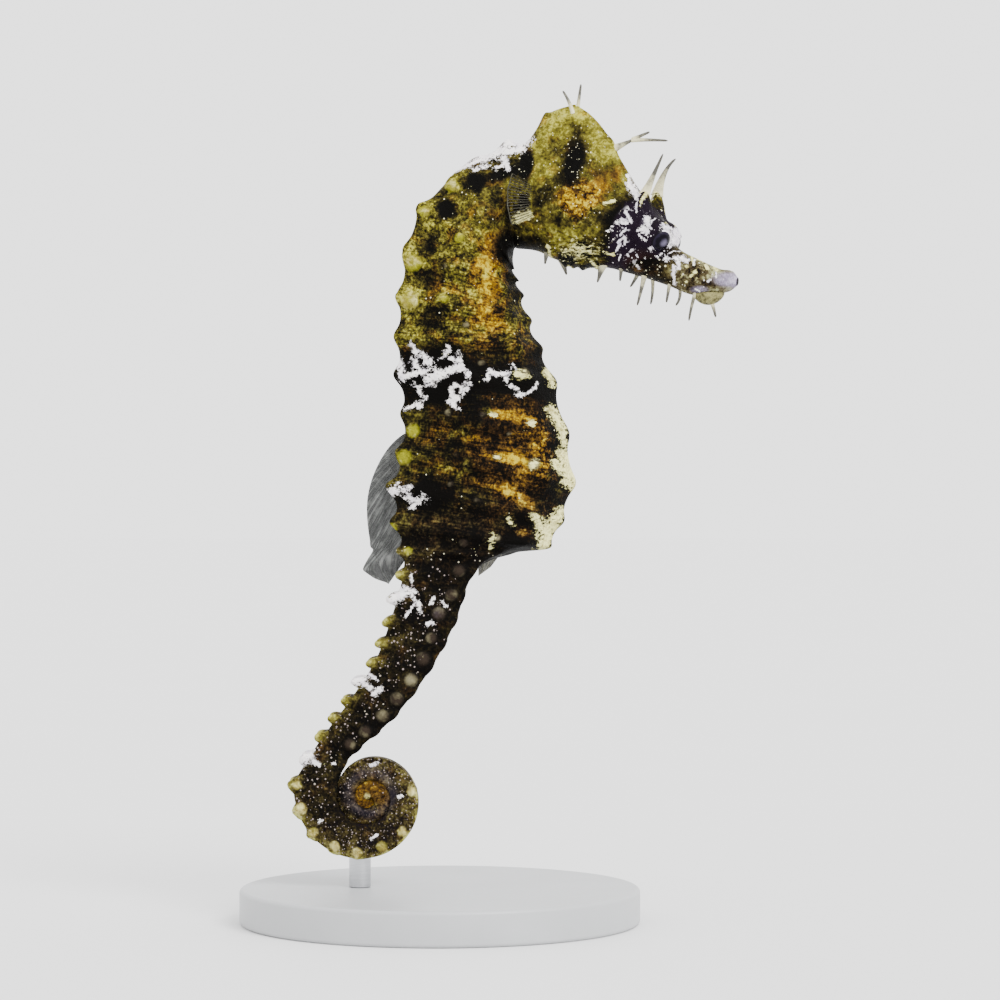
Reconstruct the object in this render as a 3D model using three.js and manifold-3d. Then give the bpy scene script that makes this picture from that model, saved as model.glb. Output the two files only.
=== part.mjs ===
// Lined seahorse, life size, as a still museum model on a plain display stand.
// Millimetres, +Z up, +X towards the snout, Y = 0 the body's own middle plane.
// Origin: centre of the underside of the stand's base.
//
// The body is one surface, point(ring, corner). "ring" counts the bony rings: 1 to 11 on the
// trunk, 12 to 47 on the tail, negative on the head. "corner" runs round a section: 0 along
// the back, 1 upper ridge, 2 side, 3 lower ridge, 4 belly keel, then up the other side to 8.
import * as THREE from "three";
import { mergeVertices } from "three/addons/utils/BufferGeometryUtils.js";
import Module from "manifold-3d";

// ---- Cuts between parts ----
const CUT = 0.3;
const NEST_GAP = 0.3;

// ---- Body landmarks: back edge and belly edge [x, z], half width ----
const LANDMARKS = [
  { at: "mouth", ring: -9.0, back: [36.3, 76.8], belly: [36.2, 75.9], half: 0.6 },
  { at: "lips", ring: -8.6, back: [35.6, 77.6], belly: [35.2, 75.2], half: 1.3 },
  { at: "snout front", ring: -7.7, back: [34.1, 77.9], belly: [33.4, 75.0], half: 1.6 },
  { at: "snout middle", ring: -6.6, back: [31.7, 79.0], belly: [30.7, 74.9], half: 1.8 },
  { at: "snout base", ring: -5.5, back: [29.4, 80.2], belly: [27.9, 76.0], half: 2.1 },
  { at: "nose", ring: -4.7, back: [28.3, 81.5], belly: [25.6, 76.8], half: 2.7 },
  { at: "eye", ring: -3.9, back: [26.8, 84.6], belly: [23.0, 77.6], half: 3.1 },
  { at: "forehead", ring: -3.1, back: [24.4, 87.4], belly: [20.4, 78.3], half: 3.4 },
  { at: "crest", ring: -2.3, back: [22.1, 91.1], belly: [18.3, 78.3], half: 3.6 },
  { at: "crown front", ring: -1.6, back: [19.5, 95.4], belly: [16.2, 78.5], half: 3.7 },
  { at: "crown top", ring: -1.0, back: [16.5, 97.6], belly: [14.1, 79.3], half: 3.8 },
  { at: "crown back", ring: -0.5, back: [13.0, 96.8], belly: [12.2, 80.3], half: 3.9 },
  { at: "nape", ring: 0.0, back: [10.4, 93.6], belly: [10.3, 80.7], half: 3.8 },
  { at: "gill", ring: 0.4, back: [7.7, 92.8], belly: [9.1, 80.6], half: 3.7 },
  { at: "ring 1", ring: 1, back: [2.2, 90.0], belly: [8.6, 79.0], half: 4.1 },
  { at: "ring 2", ring: 2, back: [-1.9, 85.4], belly: [8.9, 77.4], half: 4.4 },
  { at: "ring 3", ring: 3, back: [-3.6, 80.3], belly: [9.4, 75.5], half: 4.7 },
  { at: "ring 4", ring: 4, back: [-4.3, 74.9], belly: [10.3, 72.4], half: 4.9 },
  { at: "ring 5", ring: 5, back: [-4.6, 70.1], belly: [11.6, 69.0], half: 5.1 },
  { at: "ring 6", ring: 6, back: [-4.4, 65.5], belly: [13.3, 64.9], half: 5.3 },
  { at: "ring 7", ring: 7, back: [-3.8, 60.8], belly: [14.8, 58.8], half: 5.5 },
  { at: "ring 8", ring: 8, back: [-4.2, 56.3], belly: [15.6, 52.8], half: 5.5 },
  { at: "ring 9", ring: 9, back: [-4.9, 52.0], belly: [14.2, 48.2], half: 5.2 },
  { at: "ring 10", ring: 10, back: [-4.7, 47.8], belly: [12.5, 45.0], half: 4.6 },
  { at: "ring 11", ring: 11, back: [-4.2, 44.5], belly: [7.8, 44.1], half: 3.9 },
  { at: "tail root", ring: 12, back: [-4.3, 41.8], belly: [4.1, 41.9], half: 3.5 },
  { at: "tail 14", ring: 14, back: [-5.9, 36.1], belly: [1.8, 36.0], half: 3.2 },
  { at: "tail 16", ring: 16, back: [-7.8, 31.2], belly: [-1.1, 30.5], half: 3.0 },
  { at: "tail 18", ring: 18, back: [-10.8, 26.6], belly: [-5.4, 24.8], half: 2.8 },
  { at: "tail 20", ring: 20, back: [-14.0, 22.3], belly: [-9.8, 20.8], half: 2.6 },
  { at: "tail 21", ring: 21, back: [-15.7, 19.7], belly: [-11.5, 18.8], half: 2.5 },
];

// ---- Coil of the tail: a spiral whose outer radius shrinks evenly with the turn ----
const COIL = {
  centre: [-8.48, 15.02],
  radius: 8.82,
  shrink: 0.13,
  firstRing: 22,
  firstAngle: -10,
  stepAngle: 21,
  stepGrowth: 0.45,
  lastRing: 49,
  lastTurn: 450,
  tipFrom: 760,
  tipShare: 0.5,
  widthToDepth: 0.5,
};

// ---- Section outlines, [depth, width] as shares of the half sizes, corners 0 to 4 ----
const SHAPES = {
  snout: [[1, 0], [0.72, 0.7], [0, 1], [-0.72, 0.7], [-1, 0]],
  face: [[1, 0], [0.82, 0.6], [0.05, 1], [-0.72, 0.72], [-1, 0]],
  crown: [[1, 0], [0.6, 0.34], [-0.15, 0.9], [-0.8, 0.72], [-1, 0]],
  neck: [[1, 0], [0.84, 0.44], [0, 1], [-0.78, 0.62], [-1, 0]],
  trunk: [[0.96, 0], [1, 0.5], [0.1, 1], [-0.68, 0.64], [-1, 0]],
  tail: [[0.95, 0], [0.98, 0.88], [0, 0.96], [-0.98, 0.88], [-0.95, 0]],
};
// Each change of shape: the new outline, the rings it starts and ends at, its crease share.
const SHAPE_CHANGES = [
  { to: "face", from: -5.8, until: -4.4, crease: 0.1 },
  { to: "crown", from: -3.5, until: -2.0, crease: 0.1 },
  { to: "neck", from: -0.7, until: 0.6, crease: 0.2 },
  { to: "trunk", from: 0.7, until: 2.6, crease: 0.5 },
  { to: "tail", from: 10.2, until: 12.4, crease: 0.5 },
];

// ---- Bony relief ----
const RING_CREST = { trunk: 0.28, tail: 0.12 };
const KNOB = { alongRings: 0.2, roundCorners: 0.3 };
const KNOB_HEIGHT = {
  trunk: { upper: 0.6, side: 0.35, lower: 0.35, keel: 0.45 },
  tail: { upper: 1.15, side: 0, lower: 0.4, keel: 0 },
};
const TALL_RINGS = { 6: 1.4, 9: 2.2, 10: 1.7, 13: 1.4, 17: 1.4, 21: 1.3 };
const KNOBS_FADE = [18.5, 27.5];
const OPERCLE = { centre: [15.3, 84.0], reach: [4.6, 4.0], height: 0.45 };
const GILL_SEAM = { ring: 0.45, width: 0.12, depth: 0.35 };
// Small bosses: where each lies, its height, and how far it spreads along and round the body.
const BOSSES = [
  { on: "nape", ring: 0.34, corner: 0, height: 1.0, along: 0.14, round: 0.7 },
  { on: "nape", ring: 0.74, corner: 0, height: 0.5, along: 0.14, round: 0.7 },
  { on: "crown rim", ring: -0.4, corner: 0, height: 0.5, along: 0.14, round: 0.6 },
  { on: "crown rim", ring: -1.0, corner: 0, height: 0.25, along: 0.16, round: 0.6 },
  { on: "crown rim", ring: -2.0, corner: 0, height: 0.45, along: 0.18, round: 0.6 },
  { on: "crown side", ring: -1.95, corner: 0.7, height: 0.4, along: 0.22, round: 0.3 },
  { on: "crown side", ring: -1.1, corner: 0.7, height: 0.35, along: 0.22, round: 0.3 },
  { on: "crown side", ring: -0.62, corner: 0.7, height: 0.55, along: 0.22, round: 0.3 },
  { on: "chin", ring: -1.3, corner: 4, height: 0.35, along: 0.17, round: 0.6 },
  { on: "chin", ring: -2.0, corner: 4, height: 0.3, along: 0.17, round: 0.6 },
  { on: "chin", ring: -2.65, corner: 4, height: 0.25, along: 0.17, round: 0.6 },
];

// ---- Head: its turn to the side, the eyes ----
const HEAD_TURN = { angle: 16, pivotX: 9.0, from: 1.5, until: -1.5 };
const EYE = { x: 26.7, z: 81.85, out: 2.38, radius: 1.95, socketGap: 0.22 };
const TURRET = { reach: 3.2, height: 1.3 };
// A blunt spine above each eye, foot and top as [x, z], side -1 right and 1 left.
const BROWS = [
  { side: -1, foot: [25.2, 83.8], top: [25.4, 87.1] },
  { side: 1, foot: [26.1, 84.0], top: [26.1, 87.4] },
];
const BROW = { footOut: 2.0, topOut: 1.65, footRadius: 1.2, topRadius: 0.6, sides: 8, steps: 3 };
const CORONET_CUT_Z = 95.6;

// ---- Lower jaw, a small wedge hanging below the tip of the snout ----
const JAW = { hinge: [31.2, 74.75], front: [34.5, 74.8], drop: 1.0, half: 1.15, steps: 6 };

// ---- Skin filaments, in the head's own frame before it turns: [x, z] and sideways y ----
const CIRRUS = { base: 0.42, tip: 0.26, sides: 5, steps: 3 };
const CIRRI = [
  { on: "coronet", path: [[16.3, 96.7], [15.8, 98.4], [15.0, 99.5]], y: -0.3 },
  { on: "coronet", path: [[16.6, 96.7], [16.9, 98.9], [17.1, 100.3]], y: 0.3 },
  { on: "head", path: [[20.9, 92.3], [22.7, 93.1], [24.0, 93.6]], y: 0 },
  { on: "head", path: [[23.6, 93.5], [24.5, 93.9], [25.6, 94.3]], y: 0 },
  { on: "head", path: [[23.4, 93.4], [25.6, 93.4], [27.8, 93.2]], y: 0 },
  { on: "head", path: [[25.3, 86.6], [26.4, 88.9], [27.6, 91.5]], y: -1.6, wide: 1.4 },
  { on: "head", path: [[26.1, 86.8], [26.8, 90.0], [28.4, 91.2]], y: 1.6, wide: 1.4 },
  { on: "head", path: [[13.4, 81.0], [13.1, 79.6], [13.0, 78.8]], y: -1.0, wide: 1.5 },
  { on: "head", path: [[14.6, 80.1], [14.9, 78.4], [15.2, 77.6]], y: 0.8, wide: 2.2 },
  { on: "head", path: [[20.2, 79.3], [19.8, 77.7], [19.4, 76.5]], y: -0.8, wide: 2.4 },
  { on: "head", path: [[22.5, 79.2], [22.3, 77.7], [22.2, 76.6]], y: -0.9 },
  { on: "head", path: [[24.4, 78.6], [23.8, 77.1], [23.0, 76.0]], y: 0.9 },
  { on: "head", path: [[25.3, 77.8], [24.8, 75.5], [24.3, 73.7]], y: -0.9 },
  { on: "head", path: [[25.7, 77.7], [25.9, 75.5], [25.5, 73.9]], y: 0.9 },
  { on: "snout", path: [[28.3, 76.9], [28.0, 75.2], [27.8, 74.0]], y: -0.7 },
  { on: "snout", path: [[28.9, 76.7], [29.5, 74.7], [28.6, 73.7]], y: 0.7 },
  { on: "snout", path: [[31.5, 75.8], [30.8, 73.8], [30.5, 71.8]], y: -0.6 },
  { on: "jaw", path: [[33.1, 74.0], [33.4, 73.2], [33.6, 72.2]], y: 0 },
];

// ---- Fins ----
const DORSAL_FIN = {
  baseRings: [7.5, 11.15],
  rays: 19,
  sink: 1.2,
  reach: 4.6,
  opening: 0.22,
  angles: { first: 102, middle: 57, last: 28 },
  middleFrom: 0.66,
  lobe: { at: 0.87, width: 0.07, height: 1.35 },
  notch: { at: 0.755, width: 0.03, depth: 0.4 },
  half: 0.25,
};
const ANAL_FIN = {
  base: [[7.6, 44.6], [4.6, 43.0]],
  tip: [[6.1, 42.6], [4.6, 41.5]],
  rays: 5,
  half: 0.25,
};
const PECTORAL_FIN = {
  base: [11.0, 86.3],
  height: 3.8,
  length: 3.1,
  spread: 26,
  splay: 16,
  out: 4.0,
  rays: 9,
  half: 0.25,
};

// ---- Display stand ----
const BASE = { radius: 24, height: 4.2, chamfer: 0.6, sides: 48 };
const ROD = { x: -9.6, radius: 1.3, top: 9.0, foot: 0.05, sides: 16 };

// ---- Colours ----
const COLOURS = {
  hide: 0x6b5a24,
  dark: 0x2b2118,
  pale: 0xb9ad8c,
  fin: 0x8d9090,
  eye: 0x1a1420,
  stand: 0xc9cacc,
  rod: 0xc9ccd0,
};

const wasm = await Module();
wasm.setup();

const radians = (degrees) => (degrees * Math.PI) / 180;
const mix = (a, b, t) => a + (b - a) * t;
const clamp = (v, low, high) => Math.min(high, Math.max(low, v));
const ease = (low, high, v) => {
  const t = clamp((v - low) / (high - low), 0, 1);
  return t * t * (3 - 2 * t);
};
const bump = (v) => Math.exp(-v * v);

// Points of the coil are landmarks too.
function coilLandmarks() {
  const marks = [];
  for (let ring = COIL.firstRing; ring <= COIL.lastRing; ring += 1) {
    const n = ring - COIL.firstRing;
    const degrees = COIL.firstAngle + n * COIL.stepAngle + n * n * COIL.stepGrowth;
    const turn = radians(degrees);
    const taper = mix(1, COIL.tipShare, ease(COIL.tipFrom, COIL.tipFrom + 100, degrees));
    const outer = COIL.radius * Math.exp(-COIL.shrink * turn) * taper;
    const nextTurn = COIL.radius * Math.exp(-COIL.shrink * (turn + 2 * Math.PI));
    const inner = (nextTurn + NEST_GAP) * (1 - ease(COIL.lastTurn, COIL.lastTurn + 300, degrees));
    const along = [-Math.cos(turn), -Math.sin(turn)];
    const place = (r) => [COIL.centre[0] + r * along[0], COIL.centre[1] + r * along[1]];
    marks.push({ ring, back: place(outer), belly: place(inner), half: (outer - inner) * COIL.widthToDepth });
  }
  return marks;
}
const MARKS = [...LANDMARKS, ...coilLandmarks()];
const FIRST_RING = MARKS[0].ring;
const LAST_RING = MARKS[MARKS.length - 1].ring;

// Smooth curve through the landmarks' values, whatever their spacing.
function throughMarks(ring, value) {
  let i = 0;
  while (i < MARKS.length - 2 && MARKS[i + 1].ring < ring) i += 1;
  const a = MARKS[i];
  const b = MARKS[i + 1];
  const before = MARKS[Math.max(i - 1, 0)];
  const after = MARKS[Math.min(i + 2, MARKS.length - 1)];
  const span = b.ring - a.ring;
  const t = clamp((ring - a.ring) / span, 0, 1);
  const slopeA = (value(b) - value(before)) / (b.ring - before.ring);
  const slopeB = (value(after) - value(a)) / (after.ring - a.ring);
  const t2 = t * t;
  const t3 = t2 * t;
  return (2 * t3 - 3 * t2 + 1) * value(a) + (t3 - 2 * t2 + t) * span * slopeA
    + (3 * t2 - 2 * t3) * value(b) + (t3 - t2) * span * slopeB;
}

// Outline share [depth, width] at a corner from 0 to 4; creased between straight and smooth.
function outline(ring, corner) {
  let keys = SHAPES.snout;
  let crease = 0;
  for (const change of SHAPE_CHANGES) {
    const t = ease(change.from, change.until, ring);
    const to = SHAPES[change.to];
    keys = keys.map((key, i) => [mix(key[0], to[i][0], t), mix(key[1], to[i][1], t)]);
    crease = mix(crease, change.crease, t);
  }
  const key = (i) => {
    if (i < 0) return [keys[-i][0], -keys[-i][1]];
    if (i > 4) return [keys[8 - i][0], -keys[8 - i][1]];
    return keys[i];
  };
  const i = Math.min(Math.floor(corner), 3);
  const t = corner - i;
  return [0, 1].map((axis) => {
    const [p0, p1, p2, p3] = [key(i - 1)[axis], key(i)[axis], key(i + 1)[axis], key(i + 2)[axis]];
    const smooth = 0.5 * (2 * p1 + (p2 - p0) * t + (2 * p0 - 5 * p1 + 4 * p2 - p3) * t * t
      + (3 * p1 - p0 - 3 * p2 + p3) * t * t * t);
    return mix(smooth, mix(p1, p2, t), crease);
  });
}

// Height of crests, knobs and spines above the plain section.
function relief(ring, corner) {
  const nearest = Math.round(ring);
  const off = ring - nearest;
  const onBody = ease(0.3, 1.2, ring);
  const tail = ease(10.8, 12.2, ring);
  const fade = 1 - ease(KNOBS_FADE[0], KNOBS_FADE[1], ring);
  const crest = mix(RING_CREST.trunk, RING_CREST.tail, tail) * Math.cos(Math.PI * off) ** 4;
  let height = crest * onBody * fade;
  const knob = (at, strength) => {
    const round = bump((corner - at) / KNOB.roundCorners);
    const along = bump(off / (KNOB.alongRings * Math.SQRT2));
    return strength * round * along * onBody * fade;
  };
  const size = (name) => mix(KNOB_HEIGHT.trunk[name], KNOB_HEIGHT.tail[name], tail);
  const tall = TALL_RINGS[nearest] ?? 1;
  height += knob(1, size("upper") * tall);
  height += knob(2, size("side"));
  height += knob(3, size("lower"));
  height += knob(4, size("keel"));
  for (const boss of BOSSES) {
    const along = bump((ring - boss.ring) / boss.along);
    height += boss.height * along * bump((corner - boss.corner) / boss.round);
  }
  height -= GILL_SEAM.depth * bump((ring - GILL_SEAM.ring) / GILL_SEAM.width) * ease(0.4, 1.2, corner);
  return height;
}

// Turns a point of the head about an upright line through the neck.
function turnHead(p, share) {
  const angle = radians(HEAD_TURN.angle) * share;
  const x = p[0] - HEAD_TURN.pivotX;
  return [
    HEAD_TURN.pivotX + x * Math.cos(angle) + p[1] * Math.sin(angle),
    -x * Math.sin(angle) + p[1] * Math.cos(angle),
    p[2],
  ];
}

// The body's surface. swell moves it outward, share < 1 draws it in towards the middle.
function point(ring, corner, swell = 0) {
  const side = corner > 4 ? 1 : -1;
  const c = corner > 4 ? 8 - corner : corner;
  const value = (name, axis) => throughMarks(ring, (mark) => mark[name][axis]);
  const back = [value("back", 0), value("back", 1)];
  const belly = [value("belly", 0), value("belly", 1)];
  const half = throughMarks(ring, (mark) => mark.half);
  const arm = [(back[0] - belly[0]) / 2, (back[1] - belly[1]) / 2];
  const depth = Math.hypot(arm[0], arm[1]);
  const [d, w] = outline(ring, c);
  const lean = mix(0.6, 1, ease(1, 2, c));
  const norm = Math.hypot(d, w * lean);
  const out = relief(ring, c) + swell;
  const along = d * depth + (out * d) / norm;
  let y = w * half + (out * w * lean) / norm;
  const x = (back[0] + belly[0]) / 2 + (arm[0] / depth) * along;
  const z = (back[1] + belly[1]) / 2 + (arm[1] / depth) * along;
  if (ring < 1) {
    const toEye = Math.hypot(x - EYE.x, z - EYE.z) / TURRET.reach;
    y += TURRET.height * (1 - ease(0.35, 1, toEye)) * ease(0, 0.5, w);
    const toGill = Math.hypot(
      (x - OPERCLE.centre[0]) / OPERCLE.reach[0],
      (z - OPERCLE.centre[1]) / OPERCLE.reach[1],
    );
    y += OPERCLE.height * bump(toGill) * ease(0, 0.5, w);
  }
  return turnHead([x, side * y, z], ease(HEAD_TURN.from, HEAD_TURN.until, ring));
}

// ---- Solids ----
function toManifold(geometry) {
  const plain = geometry.clone();
  plain.deleteAttribute("normal");
  plain.deleteAttribute("uv");
  const merged = mergeVertices(plain, 1e-5);
  const solid = new wasm.Manifold(new wasm.Mesh({
    numProp: 3,
    vertProperties: new Float32Array(merged.attributes.position.array),
    triVerts: new Uint32Array(merged.index.array),
  }));
  if (solid.volume() >= 0) return solid;
  const flipped = new Uint32Array(merged.index.array);
  for (let i = 0; i < flipped.length; i += 3) {
    [flipped[i + 1], flipped[i + 2]] = [flipped[i + 2], flipped[i + 1]];
  }
  return new wasm.Manifold(new wasm.Mesh({
    numProp: 3,
    vertProperties: new Float32Array(merged.attributes.position.array),
    triVerts: flipped,
  }));
}

// Closed solid through a stack of rings of points, each end closed to its own middle.
function loft(loops) {
  const sides = loops[0].length;
  const positions = loops.flat(2);
  const faces = [];
  for (let i = 0; i + 1 < loops.length; i += 1) {
    for (let j = 0; j < sides; j += 1) {
      const a = i * sides + j;
      const b = i * sides + ((j + 1) % sides);
      faces.push(a, b, b + sides, a, b + sides, a + sides);
    }
  }
  const cap = (loop, start, turned) => {
    const middle = positions.length / 3;
    for (let axis = 0; axis < 3; axis += 1) {
      positions.push(loop.reduce((sum, p) => sum + p[axis], 0) / sides);
    }
    for (let j = 0; j < sides; j += 1) {
      const pair = [start + j, start + ((j + 1) % sides)];
      faces.push(middle, ...(turned ? pair.reverse() : pair));
    }
  };
  cap(loops[0], 0, true);
  cap(loops[loops.length - 1], (loops.length - 1) * sides, false);
  const geometry = new THREE.BufferGeometry();
  geometry.setAttribute("position", new THREE.Float32BufferAttribute(positions, 3));
  geometry.setIndex(faces);
  return toManifold(geometry);
}

// Rings at which a length of body is drawn: evenly, aligned to the bony rings.
function rows(from, to, perRing) {
  const inner = [];
  for (let k = Math.ceil(from * perRing); k <= Math.floor(to * perRing); k += 1) {
    const ring = k / perRing;
    const clear = 0.35 / perRing;
    if (ring - from > clear && to - ring > clear) inner.push(ring);
  }
  return [from, ...inner, to];
}

// Moves an end of a body length in by half a cut.
function inset(ring, direction) {
  const step = 0.02;
  const middle = (r) => [0, 1].map((i) => throughMarks(r, (m) => (m.back[i] + m.belly[i]) / 2));
  const [a, b] = [middle(ring), middle(ring + direction * step)];
  return ring + (direction * step * CUT) / 2 / Math.hypot(a[0] - b[0], a[1] - b[1]);
}

function bodyLength({ from, to, perRing, perCorner, swell = 0 }) {
  const start = from === FIRST_RING ? from : inset(from, 1);
  const end = to === LAST_RING ? to : inset(to, -1);
  const loops = rows(start, end, perRing).map((ring) => {
    const loop = [];
    for (let j = 0; j < 8 * perCorner; j += 1) loop.push(point(ring, j / perCorner, swell));
    return loop;
  });
  return loft(loops);
}

// The blunt spine above an eye.
function brow({ side, foot, top }) {
  const loops = [];
  for (let i = 0; i <= BROW.steps; i += 1) {
    const t = i / BROW.steps;
    const radius = mix(BROW.footRadius, BROW.topRadius, ease(0, 1, t));
    const out = mix(BROW.footOut, BROW.topOut, t);
    const loop = [];
    for (let j = 0; j < BROW.sides; j += 1) {
      const angle = (2 * Math.PI * j) / BROW.sides;
      const x = mix(foot[0], top[0], t) + radius * Math.cos(angle);
      loop.push(turnHead([x, side * out + radius * Math.sin(angle), mix(foot[1], top[1], t)], 1));
    }
    loops.push(loop);
  }
  return loft(loops);
}

// A tapering filament along a curve of three points.
function filament({ path, y, wide = 1 }) {
  const curve = new THREE.QuadraticBezierCurve3(...path.map(([x, z]) => new THREE.Vector3(x, y, z)));
  const loops = [];
  for (let i = 0; i <= CIRRUS.steps; i += 1) {
    const t = i / CIRRUS.steps;
    const centre = curve.getPoint(t);
    const ahead = curve.getTangent(t);
    const across = new THREE.Vector3(ahead.z, 0, -ahead.x);
    const radius = mix(CIRRUS.base, CIRRUS.tip, t);
    const spread = mix(wide, 1, t) * radius;
    const loop = [];
    for (let j = 0; j < CIRRUS.sides; j += 1) {
      const angle = (2 * Math.PI * j) / CIRRUS.sides;
      const p = centre.clone().addScaledVector(across, spread * Math.cos(angle));
      loop.push(turnHead([p.x, p.y + radius * Math.sin(angle), p.z], 1));
    }
    loops.push(loop);
  }
  return loft(loops);
}

function withFilaments(solid, name) {
  let grown = solid;
  for (const cirrus of CIRRI.filter((c) => c.on === name)) grown = grown.add(filament(cirrus));
  return grown;
}

function moved(geometry, x, y, z) {
  geometry.translate(x, y, z);
  return toManifold(geometry);
}

function sphere(radius, x, y, z, segments) {
  return moved(new THREE.SphereGeometry(radius, segments, Math.round(segments * 0.6)), x, y, z);
}

// A thin fin: each ray's foot and tip, given in order, with a rounded edge at the tips.
function finSheet(rays, half, sideways) {
  const loops = rays.map(({ foot, tip }) => {
    const at = (t, s) => foot.map((v, i) => mix(v, tip[i], t) + sideways[i] * half * s);
    return [at(0, -1), at(0.5, -1), at(1, -1), at(1, 1), at(0.5, 1), at(0, 1)];
  });
  return loft(loops);
}

function dorsalFin() {
  const { angles, lobe, notch } = DORSAL_FIN;
  const rays = [];
  for (let i = 0; i < DORSAL_FIN.rays; i += 1) {
    const t = i / (DORSAL_FIN.rays - 1);
    const ring = mix(DORSAL_FIN.baseRings[0], DORSAL_FIN.baseRings[1], t);
    const back = [0, 1].map((axis) => throughMarks(ring, (mark) => mark.back[axis]));
    const early = mix(angles.first, angles.middle, Math.min(1, t / DORSAL_FIN.middleFrom));
    const angle = radians(mix(early, angles.last, ease(0.88, 1.02, t)));
    const length = DORSAL_FIN.reach * (1 - Math.exp(-(t + 0.02) / DORSAL_FIN.opening))
      * mix(1, 0.88, ease(0.93, 1, t))
      + lobe.height * bump((t - lobe.at) / lobe.width)
      - notch.depth * bump((t - notch.at) / notch.width);
    const ray = [-Math.sin(angle), -Math.cos(angle)];
    const foot = [back[0] + DORSAL_FIN.sink, 0, back[1] + DORSAL_FIN.sink * 0.4];
    const tip = [back[0] + ray[0] * length, 0, back[1] + ray[1] * length];
    rays.push({ foot, tip });
  }
  return finSheet(rays, DORSAL_FIN.half, [0, 1, 0]);
}

function analFin() {
  const rays = [];
  for (let i = 0; i < ANAL_FIN.rays; i += 1) {
    const t = i / (ANAL_FIN.rays - 1);
    const between = ([a, b]) => [mix(a[0], b[0], t), 0, mix(a[1], b[1], t)];
    rays.push({ foot: between(ANAL_FIN.base), tip: between(ANAL_FIN.tip) });
  }
  return finSheet(rays, ANAL_FIN.half, [0, 1, 0]);
}

function pectoralFin(side) {
  const rays = [];
  const splay = radians(PECTORAL_FIN.splay);
  for (let i = 0; i < PECTORAL_FIN.rays; i += 1) {
    const t = i / (PECTORAL_FIN.rays - 1) - 0.5;
    const lift = radians(PECTORAL_FIN.spread * 2 * t);
    const length = PECTORAL_FIN.length * (1 - 0.5 * t * t);
    const foot = [PECTORAL_FIN.base[0], side * PECTORAL_FIN.out, PECTORAL_FIN.base[1] + PECTORAL_FIN.height * t];
    const tip = [
      foot[0] - length * Math.cos(lift) * Math.cos(splay),
      foot[1] + side * length * Math.cos(lift) * Math.sin(splay),
      foot[2] + length * Math.sin(lift),
    ];
    rays.push({ foot, tip });
  }
  return finSheet(rays, PECTORAL_FIN.half, [side * Math.sin(splay), side * Math.cos(splay), 0]);
}

// The jaw: a half drop under the snout, flat above and rounded below.
function lowerJaw() {
  const loops = [];
  for (let i = 0; i <= JAW.steps; i += 1) {
    const t = i / JAW.steps;
    const swellAt = Math.sqrt(Math.sin(Math.PI * mix(0.04, 0.97, t)));
    const x = mix(JAW.hinge[0], JAW.front[0], t);
    const z = mix(JAW.hinge[1], JAW.front[1], t);
    const loop = [];
    for (let j = 0; j < 12; j += 1) {
      const angle = (2 * Math.PI * j) / 12;
      const down = Math.sin(angle) < 0 ? JAW.drop : 0.12;
      loop.push(turnHead([
        x,
        JAW.half * swellAt * Math.cos(angle),
        z + down * swellAt * Math.sin(angle) - 0.25 * swellAt,
      ], 1));
    }
    loops.push(loop);
  }
  return loft(loops);
}

function standBase() {
  const { radius, height, chamfer, sides } = BASE;
  const profile = [[0, 0], [radius, 0], [radius, height - chamfer], [radius - chamfer, height], [0, height]];
  const disc = new THREE.LatheGeometry(profile.map(([x, y]) => new THREE.Vector2(x, y)), sides);
  disc.rotateX(Math.PI / 2);
  return toManifold(disc);
}

function standRod() {
  const bottom = BASE.height + ROD.foot;
  const rod = new THREE.CylinderGeometry(ROD.radius, ROD.radius, ROD.top - bottom, ROD.sides);
  rod.rotateX(Math.PI / 2);
  return moved(rod, ROD.x, 0, (ROD.top + bottom) / 2);
}

// ---- Parts ----
const group = new THREE.Group();
group.name = "lined_seahorse";

function addPart(name, solid, colour) {
  const mesh = solid.getMesh();
  const geometry = new THREE.BufferGeometry();
  geometry.setAttribute("position", new THREE.Float32BufferAttribute(mesh.vertProperties, 3));
  geometry.setIndex(Array.from(mesh.triVerts));
  geometry.computeVertexNormals();
  const part = new THREE.Mesh(geometry, new THREE.MeshStandardMaterial({ color: colour, roughness: 0.6 }));
  part.name = name;
  group.add(part);
}

// Whole lengths of the body, head first.
const HEAD = { from: -5.1, to: 0.45, perRing: 3, perCorner: 3 };
const eyeAt = (side) => turnHead([EYE.x, side * EYE.out, EYE.z], 1);
let skull = withFilaments(bodyLength(HEAD), "head");
for (const spine of BROWS) skull = skull.add(brow(spine));
for (const side of [-1, 1]) {
  skull = skull.subtract(sphere(EYE.radius + EYE.socketGap, ...eyeAt(side), 14));
}
const above = new THREE.BoxGeometry(60, 40, 40);
const below = new THREE.BoxGeometry(60, 40, 40);
const crownBox = moved(above, 16, 0, CORONET_CUT_Z + CUT / 2 + 20);
const faceBox = moved(below, 16, 0, CORONET_CUT_Z - CUT / 2 - 20);
addPart("head", skull.intersect(faceBox), COLOURS.hide);
addPart("coronet", withFilaments(skull.intersect(crownBox), "coronet"), COLOURS.hide);
const snout = bodyLength({ from: FIRST_RING, to: -5.1, perRing: 3, perCorner: 2 });
addPart("snout", withFilaments(snout, "snout"), COLOURS.dark);
addPart("lower_jaw", withFilaments(lowerJaw(), "jaw"), COLOURS.pale);
addPart("eye_right", sphere(EYE.radius, ...eyeAt(-1), 16), COLOURS.eye);
addPart("eye_left", sphere(EYE.radius, ...eyeAt(1), 16), COLOURS.eye);

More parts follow.
